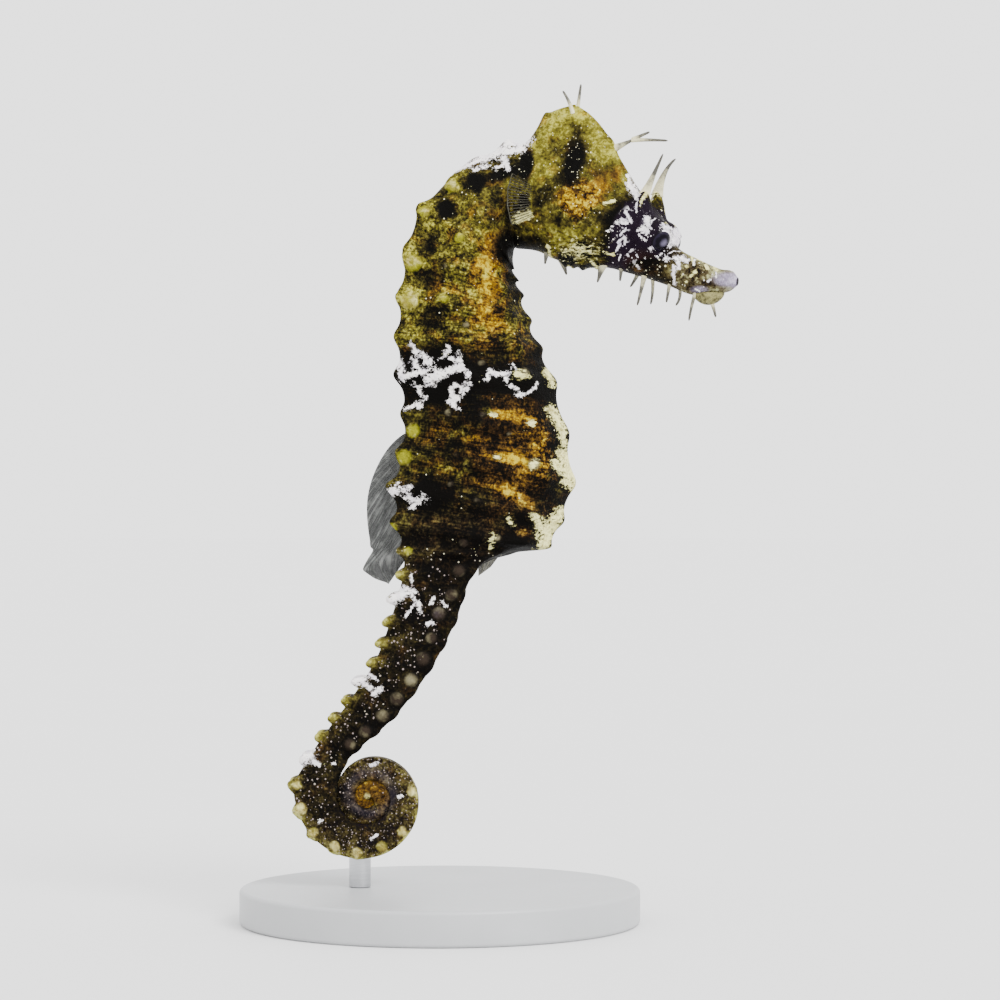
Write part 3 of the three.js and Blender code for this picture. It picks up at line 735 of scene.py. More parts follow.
class BodyForm:
    """The whole body's surface as a function of ring and corner."""

    BEAD_HEIGHT = 0.42
    TIP_HEIGHT = 0.25
    # How far outward leans sideways, near the back and from the side down, and the corners between.
    LEAN = (0.6, 1.0)
    LEAN_CORNERS = (1.0, 2.0)
    # Last rings of the lids, the chin's flaps and the swell of the head's sides; where the swell
    # starts, as a share of the half width; the flat top of the eye's turret, as a share of its reach.
    LIDS_END = -2.5
    CHIN_END = 0.4
    SWELL_END = 1.0
    SWELL_START = (0.0, 0.5)
    TURRET_TOP = 0.35

    def __init__(self) -> None:
        """Joins the landmarks of the body and of the coil."""
        rows = [[m.ring, *m.back, *m.belly, m.half] for m in LANDMARKS]
        self.marks = np.concatenate([np.array(rows), Coil().marks()])
        self.relief = Relief()
        self.turn = HeadTurn()
        self.eye = EyeForm()
        self.gill = GillCover()

    def through_marks(self, ring: np.ndarray) -> np.ndarray:
        """Smooth cubic through the landmarks.

        Args:
            ring: any array of ring numbers.

        Returns:
            The same array with five values more: back x, z, belly x, z and half width. Each
            span is a cubic whose end slopes join the landmarks on either side.
        """
        knots, values = self.marks[:, 0], self.marks[:, 1:]
        i = np.clip(np.searchsorted(knots, ring, side="left") - 1, 0, len(knots) - 2)
        before, after = np.maximum(i - 1, 0), np.minimum(i + 2, len(knots) - 1)
        span = (knots[i + 1] - knots[i])[..., None]
        t = np.clip((ring - knots[i])[..., None] / span, 0.0, 1.0)
        slope_a = (values[i + 1] - values[before]) / (knots[i + 1] - knots[before])[..., None]
        slope_b = (values[after] - values[i]) / (knots[after] - knots[i])[..., None]
        t2, t3 = t * t, t * t * t
        return ((2 * t3 - 3 * t2 + 1) * values[i] + (t3 - 2 * t2 + t) * span * slope_a
                + (3 * t2 - 2 * t3) * values[i + 1] + (t3 - t2) * span * slope_b)

    def outline(self, ring: np.ndarray, corner: np.ndarray) -> np.ndarray:
        """Outline shares of a section.

        Args:
            ring: ring numbers.
            corner: corners from 0 to 4.

        Returns:
            Depth and width shares. Five key points blend from shape to shape along the rings;
            between keys the outline is part straight line, by the crease share, part cubic.
        """
        keys = np.broadcast_to(np.array(SHAPES["snout"], dtype=float), (*ring.shape, 5, 2))
        crease = np.zeros_like(ring)
        for name, start, whole, share in SHAPE_CHANGES:
            t = ease(start, whole, ring)
            keys = mix(keys, np.array(SHAPES[name], dtype=float), t[..., None, None])
            crease = mix(crease, share, t)
        mirrored = np.array([1.0, -1.0])
        around = np.concatenate([keys[..., 1:2, :] * mirrored, keys, keys[..., 3:4, :] * mirrored], axis=-2)
        i = np.minimum(np.floor(corner).astype(int), 3)
        t = (corner - i)[..., None]
        p0, p1, p2, p3 = (np.take_along_axis(around, (i + n)[..., None, None], axis=-2)[..., 0, :]
                          for n in range(4))
        smooth = 0.5 * (2 * p1 + (p2 - p0) * t + (2 * p0 - 5 * p1 + 4 * p2 - p3) * t * t
                        + (3 * p1 - p0 - 3 * p2 + p3) * t ** 3)
        return mix(smooth, mix(p1, p2, t), crease[..., None])

    def plain(self, ring: np.ndarray, around: np.ndarray) -> np.ndarray:
        """The surface before the head turns.

        Args:
            ring: ring numbers.
            around: corners from 0 to 8.

        Returns:
            Points: section middle + depth share along the section's arm + width share sideways,
            each pushed outward by the relief, and the sides of the head by gill cover and turret.
        """
        side = np.where(around > 4, 1.0, -1.0)
        corner = np.where(around > 4, 8.0 - around, around)
        marks = self.through_marks(ring)
        back, belly, half = marks[..., 0:2], marks[..., 2:4], marks[..., 4]
        arm = (back - belly) / 2.0
        depth = np.linalg.norm(arm, axis=-1)
        share = self.outline(ring, corner)
        d, w = share[..., 0], share[..., 1]
        lean = mix(*self.LEAN, ease(*self.LEAN_CORNERS, corner))
        norm = np.hypot(d, w * lean)
        middle = (back + belly) / 2.0
        x = middle[..., 0] + arm[..., 0] * d
        z = middle[..., 1] + arm[..., 1] * d
        beads = (self.BEAD_HEIGHT * np.sqrt(np.maximum(0.0, TUBERCLES.share(x, z)))
                 + self.TIP_HEIGHT * np.sqrt(np.maximum(0.0, LIME_TIPS.share(x, z))))
        out = self.relief.height(ring, corner) + beads + self.relief.folds(x, z) * (ring < self.CHIN_END)
        y = w * half + out * w * lean / norm
        x = x + arm[..., 0] / depth * out * d / norm
        z = z + arm[..., 1] / depth * out * d / norm
        head = (ring < self.SWELL_END) * ease(*self.SWELL_START, w)
        to_eye = np.hypot(x - self.eye.x, z - self.eye.z) / self.eye.turret_reach
        to_gill = np.hypot((x - self.gill.x) / self.gill.wide, (z - self.gill.z) / self.gill.high)
        y = y + head * (self.eye.turret_height * (1.0 - ease(self.TURRET_TOP, 1.0, to_eye))
                        + self.gill.height * bump(to_gill))
        return np.stack([x, side * y, z], axis=-1)

    def lids(self, points: np.ndarray) -> np.ndarray:
        """Wraps the skin round each eyeball.

        Args:
            points: skin before the head turns.

        Returns:
            Points nearer the eyeball's centre than ball + lid are pushed out to that distance.
            Inside the opening they sink below the ball, so that its middle stays bare.
        """
        eye = self.eye
        for side in (-1, 1):
            centre = eye.centre(side)
            offset = points - centre
            distance = np.linalg.norm(offset, axis=-1)
            unit = offset / np.maximum(distance, 1e-6)[..., None]
            angle = np.degrees(np.arccos(np.clip(unit @ eye.towards(side), -1.0, 1.0))) - eye.opening
            rim = bump((angle - eye.lid_rim_width) / eye.lid_rim_width)
            shell = eye.radius + eye.lid + eye.lid_rim * rim
            wrapped = shell + eye.soft * np.log1p(np.exp((distance - shell) / eye.soft))
            wrapped = np.where(distance - shell > 6 * eye.soft, distance, wrapped)
            near = 1.0 - ease(eye.radius + eye.release[0], eye.radius + eye.release[1], distance)
            near = near * (points[..., 1] * side > 0.0)
            reach = mix(distance, wrapped, near)
            reach = mix(reach, eye.radius - eye.sink, (1.0 - ease(*eye.opening_edge, angle)) * near)
            points = centre + unit * reach[..., None]
        return points

    def straight(self, ring: np.ndarray, around: np.ndarray) -> np.ndarray:
        """The skin with brows and lids, before the head turns.

        Args:
            ring: ring numbers.
            around: corners from 0 to 8.

        Returns:
            Its points.
        """
        points = self.plain(ring, around)
        head = (ring < self.LIDS_END)[..., None]
        for brow in BROWS:
            points = np.where(head, brow.raised(points), points)
        return np.where(head, self.lids(points), points)

    def surface(self, ring: np.ndarray, around: np.ndarray) -> np.ndarray:
        """The finished skin, with the head turned."""
        return self.turn.apply(self.straight(ring, around), ease(self.turn.start, self.turn.whole, ring))


# ---------------------------------------------------------------- markings
class Field(Enum):
    """What the skin's points carry for its colours."""

    TONE = "tone"
    HUE = "hue"
    LINES = "lines"
    DOTS = "dots"
    LILAC = "lilac"
    PEARL = "pearl"
    COARSE = "coarse"
    GREY = "grey"
    SMALL = "small"


@dataclass(frozen=True)
class Patch:
    """A soft oval on both sides, seen from the side before the head turns."""

    x: float
    z: float
    wide: float
    high: float
    strength: float
    tilt: float = 0.0

    def share(self, x: np.ndarray, z: np.ndarray) -> np.ndarray:
        """How strongly the oval works.

        Args:
            x: side-view x.
            z: side-view z.

        Returns:
            Strength times a flat-topped bell of the distance in the tilted oval.
        """
        c, s = math.cos(math.radians(self.tilt)), math.sin(math.radians(self.tilt))
        across = ((x - self.x) * c + (z - self.z) * s) / self.wide
        up = ((z - self.z) * c - (x - self.x) * s) / self.high
        return self.strength * np.exp(-np.square(across * across + up * up))


@dataclass(frozen=True)
class Strokes:
    """Short brush strokes: start x, z, end x, z and half width of each."""

    name: str
    marks: tuple[tuple[float, float, float, float, float], ...]

    def share(self, x: np.ndarray, z: np.ndarray) -> np.ndarray:
        """How deep each place lies in a stroke.

        Args:
            x: side-view x.
            z: side-view z.

        Returns:
            1 on a stroke's line, 0 at its edge and down to -1 away from all of them.
        """
        best = np.full_like(x, -1.0)
        for x0, z0, x1, z1, half in self.marks:
            dx, dz = x1 - x0, z1 - z0
            t = np.clip(((x - x0) * dx + (z - z0) * dz) / max(dx * dx + dz * dz, 1e-9), 0.0, 1.0)
            away = np.hypot(x - x0 - t * dx, z - z0 - t * dz)
            best = np.maximum(best, 1.0 - away / half)
        return best


WHITE = Strokes("white", (
    # saddle over the back, its fronds towards the flank
    (-3.5, 69.3, -2.9, 68.2, 0.30), (-4.9, 67.3, -4.4, 65.1, 0.48), (-4.4, 65.2, -2.5, 65.8, 0.34),
    (-3.1, 67.5, -2.8, 66.1, 0.31), (-2.2, 68.3, -1.7, 67.0, 0.31), (-1.9, 68.0, -1.1, 67.1, 0.26),
    (-1.1, 67.3, -0.3, 65.1, 0.38), (-2.2, 66.3, -0.7, 64.9, 0.31), (-1.7, 65.0, -1.6, 64.2, 0.29),
    (-0.7, 65.1, -0.5, 64.3, 0.30), (-3.1, 64.5, -1.7, 62.7, 0.26), (-2.5, 62.3, -2.2, 61.6, 0.31),
    (-4.1, 61.4, -2.8, 62.0, 0.26), (0.2, 65.5, 2.2, 66.4, 0.50), (0.3, 67.5, 0.9, 68.4, 0.22),
    (1.1, 68.8, 1.3, 68.4, 0.30), (2.2, 68.1, 2.7, 66.5, 0.31), (0.9, 67.6, 2.2, 67.1, 0.22),
    (2.5, 66.4, 3.5, 65.6, 0.29), (3.5, 65.5, 3.2, 64.6, 0.26), (1.5, 64.4, 3.2, 63.8, 0.24),
    (3.6, 64.4, 3.3, 63.7, 0.24), (1.4, 63.8, 1.6, 62.3, 0.31), (2.8, 63.6, 2.1, 62.5, 0.31),
    (1.1, 62.3, 2.3, 61.4, 0.26),
    # hooked mark on the chest
    (6.1, 66.1, 5.7, 64.9, 0.34), (6.3, 65.6, 8.1, 65.6, 0.29), (7.6, 65.5, 8.4, 64.2, 0.25),
    (8.4, 64.2, 9.3, 63.8, 0.23), (8.6, 66.8, 8.9, 66.1, 0.22), (9.2, 63.1, 9.9, 63.2, 0.28),
    (10.4, 63.3, 11.2, 63.9, 0.22), (11.4, 64.0, 11.6, 64.6, 0.22),
    # beside the back fin
    (-6.8, 51.1, -5.0, 51.9, 0.60), (-4.9, 52.7, -4.8, 51.6, 0.24), (-3.6, 52.4, -3.5, 51.0, 0.26),
    (-4.0, 50.9, -3.4, 50.6, 0.31), (-3.0, 50.0, -2.3, 50.8, 0.43), (-2.5, 51.2, -2.2, 51.6, 0.22),
    (-1.6, 51.2, -1.5, 50.0, 0.22), (-3.6, 49.7, -3.4, 49.7, 0.22),
    # down the tail
    (-6.0, 38.5, -4.5, 39.7, 0.8), (-4.1, 40.2, -2.9, 39.7, 0.26), (-3.4, 41.7, -3.2, 40.9, 0.20),
    (-3.5, 39.7, -2.9, 38.7, 0.22), (-2.6, 38.5, -2.3, 37.3, 0.31), (-3.2, 38.0, -4.1, 36.7, 0.22),
    (-0.7, 39.0, -1.0, 38.3, 0.26), (0.2, 38.5, 0.8, 38.0, 0.23), (-1.4, 35.9, -1.0, 36.0, 0.31),
    (-10.7, 28.7, -9.3, 29.5, 0.8), (-8.9, 28.7, -8.3, 28.2, 0.41), (-7.9, 27.5, -7.1, 28.1, 0.36),
    (-8.4, 29.9, -7.3, 29.1, 0.20), (-17.0, 19.3, -15.7, 20.3, 0.9), (-15.2, 21.3, -15.1, 20.9, 0.29),
    (-15.1, 19.4, -14.4, 19.1, 0.31), (-12.7, 19.2, -12.5, 19.2, 0.24), (-8.4, 18.8, -7.5, 19.2, 0.22),
    (-4.9, 15.2, -4.5, 15.3, 0.24), (-8.1, 10.2, -7.5, 10.6, 0.22), (-14.3, 12.3, -14.1, 12.3, 0.26),
    # nape
    (8.3, 93.6, 10.2, 93.8, 1.1), (7.9, 92.2, 10.0, 92.7, 0.6), (5.0, 91.8, 7.5, 92.5, 0.95),
    (2.0, 90.1, 5.0, 91.5, 0.38), (7.7, 91.5, 8.4, 90.2, 0.42), (6.7, 90.2, 7.5, 90.6, 0.24),
    (4.0, 90.0, 5.9, 90.6, 0.28),
    # forehead and round the eye
    (23.4, 88.0, 24.5, 86.6, 0.48), (23.0, 89.3, 23.5, 88.1, 0.22), (23.3, 84.8, 24.1, 83.4, 0.20),
    (22.4, 83.4, 23.6, 83.3, 0.24), (24.5, 85.4, 24.7, 84.4, 0.14), (24.7, 86.0, 24.5, 85.3, 0.14),
    (22.8, 81.9, 23.5, 82.6, 0.16), (22.5, 81.0, 23.3, 81.6, 0.16), (22.2, 80.1, 22.8, 80.8, 0.15),
    (23.5, 81.5, 23.3, 80.8, 0.14), (21.8, 82.9, 22.0, 82.9, 0.14), (26.0, 83.8, 26.4, 82.9, 0.42),
    (25.8, 82.6, 26.3, 82.0, 0.46), (25.2, 82.3, 25.8, 82.3, 0.26), (26.7, 83.4, 27.0, 83.7, 0.14),
    (25.3, 81.8, 26.2, 81.0, 0.15), (27.9, 82.9, 28.5, 82.7, 0.24), (28.5, 82.6, 28.6, 81.2, 0.50),
    (28.4, 81.0, 28.4, 80.6, 0.35),
    (26.7, 80.2, 26.7, 80.1, 0.28), (27.6, 79.6, 27.7, 79.6, 0.20), (28.1, 79.1, 28.2, 79.0, 0.34),
    (27.2, 79.2, 27.3, 79.2, 0.16), (23.6, 79.6, 23.7, 79.4, 0.15),
    (24.7, 79.5, 24.8, 79.3, 0.14), (25.6, 79.1, 25.7, 79.1, 0.14), (24.6, 78.3, 24.8, 78.0, 0.16),
    # bands of the snout
    (29.2, 79.2, 29.3, 79.1, 0.40), (28.3, 79.6, 28.9, 80.0, 0.06), (28.9, 80.0, 29.5, 80.0, 0.06),
    (29.8, 79.2, 30.4, 78.8, 0.34), (29.5, 78.6, 29.6, 78.0, 0.28), (29.0, 78.2, 28.9, 76.2, 0.25),
    (31.2, 79.0, 31.3, 78.3, 0.14), (33.0, 76.3, 33.3, 76.5, 0.18), (33.9, 77.4, 34.0, 76.7, 0.12),
    (31.4, 75.5, 31.9, 75.2, 0.12), (21.1, 82.4, 21.9, 82.4, 0.13), (22.7, 79.6, 22.4, 79.0, 0.12),
))
CREAM = Strokes("cream", (
    # keel of the trunk
    (12.8, 66.1, 13.5, 64.5, 0.50), (13.3, 61.4, 14.7, 59.2, 0.66), (14.6, 58.7, 15.0, 57.3, 0.48),
    (14.8, 56.0, 15.8, 53.3, 0.96), (13.8, 55.1, 14.6, 54.2, 0.60), (15.0, 52.9, 16.2, 52.2, 0.60),
    (14.3, 49.3, 14.1, 48.3, 0.60), (13.1, 47.3, 12.6, 45.4, 1.10),
    (11.5, 48.5, 12.5, 46.8, 0.60), (13.8, 48.4, 13.0, 47.0, 0.84), (9.1, 65.6, 10.2, 65.5, 0.52),
    # chin
    (13.7, 80.7, 13.4, 78.9, 0.29), (15.8, 78.4, 16.1, 78.1, 0.29), (19.1, 78.7, 20.1, 77.6, 0.24),
    (20.7, 79.9, 21.8, 79.6, 0.2), (16.9, 81.6, 17.5, 81.6, 0.18),
    # cheek, gill and snout
    (20.8, 85.8, 21.9, 86.0, 0.26), (9.6, 84.1, 11.2, 84.5, 0.62), (31.0, 77.0, 31.5, 77.5, 0.21),
    (32.5, 78.4, 32.8, 77.8, 0.14), (29.9, 77.1, 30.0, 77.1, 0.15), (30.4, 78.2, 30.5, 78.1, 0.15),
    (30.4, 76.3, 30.5, 76.3, 0.15), (31.6, 76.8, 31.7, 76.8, 0.13), (30.8, 79.4, 31.3, 78.3, 0.13),
    (31.9, 74.7, 32.4, 75.0, 0.16),
    (32.3, 78.9, 32.9, 78.6, 0.20), (33.5, 78.1, 33.9, 77.6, 0.20), (31.5, 79.1, 32.0, 79.0, 0.14),
    (32.8, 78.2, 33.0, 77.8, 0.13),
    # brow and upper lid
    (27.9, 85.2, 27.9, 84.1, 0.17), (27.9, 84.1, 28.3, 83.3, 0.16), (28.3, 83.3, 28.8, 83.0, 0.12),
    (28.3, 84.4, 28.8, 83.3, 0.10), (26.9, 85.1, 27.1, 85.0, 0.18), (25.0, 85.5, 25.9, 87.2, 0.22),
    (26.0, 87.2, 27.0, 87.0, 0.25),
    # pale beads on the flank
    (11.0, 54.7, 11.4, 55.1, 0.46), (6.8, 55.8, 7.0, 55.6, 0.30), (10.6, 59.9, 11.2, 59.8, 0.34),
    (6.2, 60.8, 6.9, 60.6, 0.28), (6.3, 46.6, 6.1, 45.0, 0.30), (8.2, 48.4, 8.6, 47.8, 0.30),
))

# Values along the rings, as pairs of ring and value.
ALONG = {
    Field.TONE: ((-9, 0.7), (-7.6, 0.63), (-6.4, 0.55), (-5.6, 0.34), (-4.9, -0.05), (-3.4, -0.1),
        (-3.0, 0.36), (-2, 0.52), (-1, 0.56), (0, 0.42), (0.5, 0.3), (1, 0.35), (2, 0.45), (4, 0.48),
        (5, 0.37), (5.7, 0.1), (6.3, -0.08), (6.9, 0.04), (7.5, 0.14), (8.5, 0.16), (9.2, 0.12),
        (10, 0.12), (11, 0.1), (12, 0.05), (19, 0.08), (22, 0.14), (26, 0.22), (31, 0.25), (38, 0.27),
        (42, 0.33), (49, 0.4)),
    Field.HUE: ((-9, -0.2), (-6, -0.1), (-4, 0.2), (-2, 0.0), (0, 0.15), (2, 0.2), (6, 0.4), (8, 0.45),
        (10, 0.4), (13, 0.25), (20, 0.2), (37, 0.2), (41, 0.5), (45, 0.8), (49, 0.9)),
    Field.DOTS: ((-9, 0.0), (-7.4, 0.3), (-6, 0.8), (-5, 0.7), (-3.5, 0.4), (-2, 0.3), (0, 0.2),
        (2, 0.05), (6, 0.02), (8, 0.02), (10.3, 0.05), (11.6, 0.7), (12.4, 0.95), (20, 1.0), (26, 1.3),
        (36, 1.3), (40, 0.8), (43, 0.1), (49, 0.0)),
    Field.PEARL: ((-9, 0.5), (-8.4, 0.3), (-7.6, 0.0), (49, 0.0)),
    Field.SMALL: ((-4.4, 0.0), (-3, 0.75), (0, 0.75), (1, 0.0), (19, 0.0), (27, 0.85), (49, 0.85)),
    Field.GREY: ((-9, 1.0), (-6.2, 0.95), (-5.2, 0.5), (-4.0, 0.0), (8, 0.0), (10, 0.3), (20, 0.2),
        (23, 0.45), (38, 0.45), (42, 0.2), (49, 0.1)),
    Field.LINES: ((-2, 0.0), (0, 0.1), (2, 0.5), (4, 0.8), (6, 1.0), (9, 1.0), (11, 0.5), (13, 0.1),
        (49, 0.05)),
    Field.LILAC: ((-9, 0.7), (-7.8, 0.5), (-7.0, 0.1), (-5.5, 0.3), (-4.8, 0.7), (-3.4, 0.8),
        (-2.8, 0.0), (21, 0.0), (26, 0.35), (33, 0.35), (37, 0.0), (49, 0.0)),
    Field.COARSE: ((-9, 0.6), (-5, 0.6), (-2, 0.52), (0, 0.62), (2, 1.0), (10, 1.0), (12, 0.7),
        (22, 0.7), (49, 0.8)),
}
# Change of tone round a section, corners 0 to 4, on head, trunk, tail and coil.
ROUND = {
    "head": (0.12, 0.06, 0.0, -0.05, -0.1),
    "trunk": (0.16, 0.0, 0.0, -0.03, -0.22),
    "tail": (0.1, 0.1, 0.0, 0.02, 0.05),
    "coil": (0.26, 0.16, 0.0, -0.04, -0.16),
}
# Ovals of each field: x, z, half width, half height, strength and, if tilted, degrees.
PATCHES: dict[Field, tuple[tuple[float, ...], ...]] = {
    Field.TONE: (
        # head: bright crown, dark diamond, golden cheek, layered chin, dark throat and eye mask
        (16.4, 96.6, 3.4, 1.2, 0.16), (12.6, 92.3, 1.3, 3.2, 0.14), (20.4, 92.6, 1.4, 2.4, 0.08),
        (16.9, 91.3, 1.3, 2.9, -0.72), (15.8, 88.9, 1.4, 1.4, -0.35), (17.4, 85.9, 1.3, 1.6, -0.04),
        (21.0, 88.4, 0.9, 1.0, 0.2), (14.0, 86.0, 1.8, 2.2, -0.14), (19.8, 84.0, 2.6, 1.0, -0.2),
        (15.3, 83.8, 0.5, 0.5, -0.5), (15.8, 79.3, 1.2, 0.7, -0.9), (19.2, 78.2, 2.6, 0.5, -0.8),
        (11.0, 81.2, 3.2, 0.9, -0.26), (10.7, 90.6, 0.9, 1.8, -0.9), (10.5, 86.0, 0.6, 0.9, -0.8),
        (8.9, 85.6, 0.25, 3.0, 0.25), (11.6, 86.2, 0.25, 2.4, 0.2), (23.4, 82.6, 2.4, 3.2, -0.6),
        (24.6, 83.2, 0.7, 0.7, -1.0), (26.5, 86.3, 0.9, 1.2, 0.5), (32.9, 76.0, 0.9, 0.4, -0.3),
        (34.6, 75.4, 1.4, 0.4, 0.2), (30.9, 76.9, 1.3, 1.5, -0.2), (31.6, 79.2, 2.6, 0.5, 0.3, -28.0),
        (27.2, 77.6, 1.8, 1.0, 0.3), (24.4, 77.9, 1.0, 0.7, 0.35),
        # trunk: golden band down the side, lime lumps on the back, dark chest and saddle
        (5.4, 80.0, 1.1, 3.8, 0.24), (5.4, 73.6, 1.2, 3.6, 0.22), (8.6, 76.8, 1.3, 4.0, -0.16),
        (8.2, 80.6, 2.0, 1.8, -0.45), (4.4, 88.6, 1.0, 1.0, -0.8), (7.6, 89.5, 2.4, 0.7, -0.5, 15.0),
        (0.7, 85.3, 1.1, 1.2, -0.8), (-1.4, 81.0, 1.2, 1.6, -0.35), (-0.8, 76.6, 1.6, 1.4, -0.3),
        (-1.0, 72.2, 1.6, 1.4, -0.3), (0.0, 65.8, 4.6, 3.2, -0.5), (8.0, 64.8, 4.6, 1.8, -0.42),
        (6.4, 71.2, 3.6, 0.9, 0.25), (8.2, 60.7, 3.4, 0.7, 0.62, -8.0),
        (8.0, 55.6, 3.4, 0.6, 0.6, -10.0), (9.0, 51.2, 2.7, 0.9, 0.75, -34.0),
        (3.0, 58.2, 4.0, 0.5, 0.25, -12.0), (2.6, 53.6, 4.0, 0.5, 0.25, -22.0),
        (6.6, 63.0, 3.4, 0.8, 0.3, -6.0), (10.4, 58.0, 2.4, 6.0, 0.26), (1.0, 59.0, 3.4, 1.0, 0.12),
        (-1.4, 51.2, 3.0, 1.6, -0.45), (12.6, 57.0, 1.0, 4.0, 0.12), (12.4, 50.6, 1.6, 1.2, -0.14),
        (9.0, 45.4, 1.8, 1.6, -0.3), (9.9, 46.7, 0.9, 0.6, 0.6), (2.0, 46.4, 5.0, 1.6, -0.1),
        # tail: lavender bead among the fronds, then the coil's dusted edge and golden middle
        (-8.3, 15.6, 1.5, 1.4, -0.02),
    ),
    Field.COARSE: (
        (17.6, 86.0, 2.6, 2.4, 0.9), (31.4, 77.2, 1.8, 1.6, 0.4), (13.0, 55.0, 1.6, 6.0, 0.6),
    ),
    Field.LILAC: (
        (32.9, 76.0, 1.1, 0.6, 0.4), (26.2, 77.9, 3.4, 1.3, -1.0),
    ),
    Field.HUE: (
        (26.5, 86.4, 1.0, 1.4, -0.9), (18.0, 86.6, 3.0, 2.4, 0.8), (20.8, 88.8, 1.8, 1.8, 0.5),
        (25.2, 78.6, 2.6, 1.6, 0.9), (5.8, 77.0, 2.0, 9.0, 0.6), (9.0, 56.6, 4.4, 6.6, 1.1),
        (9.9, 46.7, 1.2, 0.9, 0.6), (-8.3, 15.6, 2.0, 2.0, 0.5),
    ),
    Field.DOTS: (
        (16.9, 91.0, 2.2, 2.8, 0.6), (10.6, 90.4, 1.2, 2.2, 0.5), (10.6, 86.0, 0.8, 1.2, 0.2),
        (24.6, 83.2, 0.9, 0.9, -1.5), (27.0, 77.8, 2.4, 1.6, 0.5),
    ),
    Field.PEARL: (
        (34.9, 76.6, 1.6, 0.8, 0.8), (36.1, 76.4, 0.6, 0.9, 0.5), (31.9, 75.4, 1.2, 0.5, 0.8),
        (26.0, 82.9, 0.9, 1.2, 0.3), (-0.1, 37.2, 0.9, 0.9, 0.22), (-8.3, 15.6, 3.6, 3.4, 0.38),
        (-8.3, 15.6, 2.1, 2.0, -0.4),
    ),
    Field.GREY: (
        (2.0, 46.0, 6.0, 4.0, 0.25), (-8.3, 15.6, 2.0, 2.0, -0.1),
    ),
}


class Markings:
    """Works out the numbers that skin and eyeballs carry for their colours."""

    # Rings over which the tone round a section turns into the next part's.
    CHANGES = (("trunk", 0.4, 1.2), ("tail", 11.0, 13.0), ("coil", 20.0, 24.0))
    TAIL = (10.6, 11.8)
    # Bright knobs of the upper ridge: where they start and end, corner, length, width on trunk and tail.
    KNOBS_START = (0.6, 1.2)
    KNOBS_END = (29.6, 31.0)
    KNOB_CORNER = 0.95
    KNOB_LENGTH = 0.27
    KNOB_WIDTHS = (0.42, 0.3)
    MOUTH = (-8.995, -8.965)
    # Layered chin: middle x and z, width and height.
    CHIN = (17.7, 80.3, 3.0, 1.4)
    # Corners over which the tail's dots end towards its underside.
    UNDERSIDE = (2.4, 3.0)

    def __init__(self, form: BodyForm) -> None:
        """Keeps the body's form."""
        self.form = form

    def seen_from_side(self, x: np.ndarray, z: np.ndarray) -> dict[str, np.ndarray]:
        """Fields that follow from side-view coordinates alone.

        Args:
            x: side-view x.
            z: side-view z.

        Returns:
            Strokes, beads, tips, and the distance and direction from the eye.
        """
        eye = self.form.eye
        values = {marks.name: marks.share(x, z) for marks in (WHITE, CREAM)}
        values["bead"] = TUBERCLES.share(x, z)
        values["tip"] = LIME_TIPS.share(x, z)
        values["eye_away"] = np.hypot(x - eye.x, z - eye.z)
        values["eye_turn"] = np.arctan2(z - eye.z, -(x - eye.x))
        return values

    def round_section(self, ring: np.ndarray, corner: np.ndarray) -> np.ndarray:
        """Tone added round a section.

        Args:
            ring: ring numbers.
            corner: corners from 0 to 4.

        Returns:
            The four profiles blended along the rings.
        """
        corners = np.arange(5.0)
        level = np.interp(corner, corners, ROUND["head"])
        for name, start, whole in self.CHANGES:
            level = mix(level, np.interp(corner, corners, ROUND[name]), ease(start, whole, ring))
        return level

    def on_skin(self, ring: np.ndarray, around: np.ndarray) -> dict[str, np.ndarray]:
        """Every field on the skin's grid.

        Args:
            ring: ring numbers of the grid.
            around: corners of the grid, 0 to 8.

        Returns:
            One array for each field, with ring, corner and the knobs' shares.
        """
        straight = self.form.straight(ring, around)
        x, z = straight[..., 0], straight[..., 2]
        corner = np.where(around > 4, 8.0 - around, around)
        values = {}
        for kind in Field:
            places, sizes = zip(*ALONG[kind])
            values[kind.value] = np.interp(ring, places, sizes)
            for row in PATCHES.get(kind, ()):
                values[kind.value] = values[kind.value] + Patch(*row).share(x, z)
        values["tone"] = values["tone"] + self.round_section(ring, corner)
        tail = ease(*self.TAIL, ring)
        fade = ease(*self.KNOBS_START, ring) * (1.0 - ease(*self.KNOBS_END, ring))
        along = bump((ring - np.round(ring)) / self.KNOB_LENGTH)
        values["upper"] = along * bump((corner - self.KNOB_CORNER) / mix(*self.KNOB_WIDTHS, tail)) * fade
        values.update(self.seen_from_side(x, z), tail=tail, ring=ring, corner=corner)
        values["mouth"] = 1.0 - ease(*self.MOUTH, ring)
        at_x, at_z, wide, high = self.CHIN
        values["chin"] = bump((x - at_x) / wide) * bump((z - at_z) / high) * (ring < 0.0)
        values["cream"] = np.maximum(values["cream"], 1.4 * values["chin"] - 1.0)
        values["dots"] = values["dots"] * (1.0 - ease(*self.UNDERSIDE, corner) * tail)
        return values


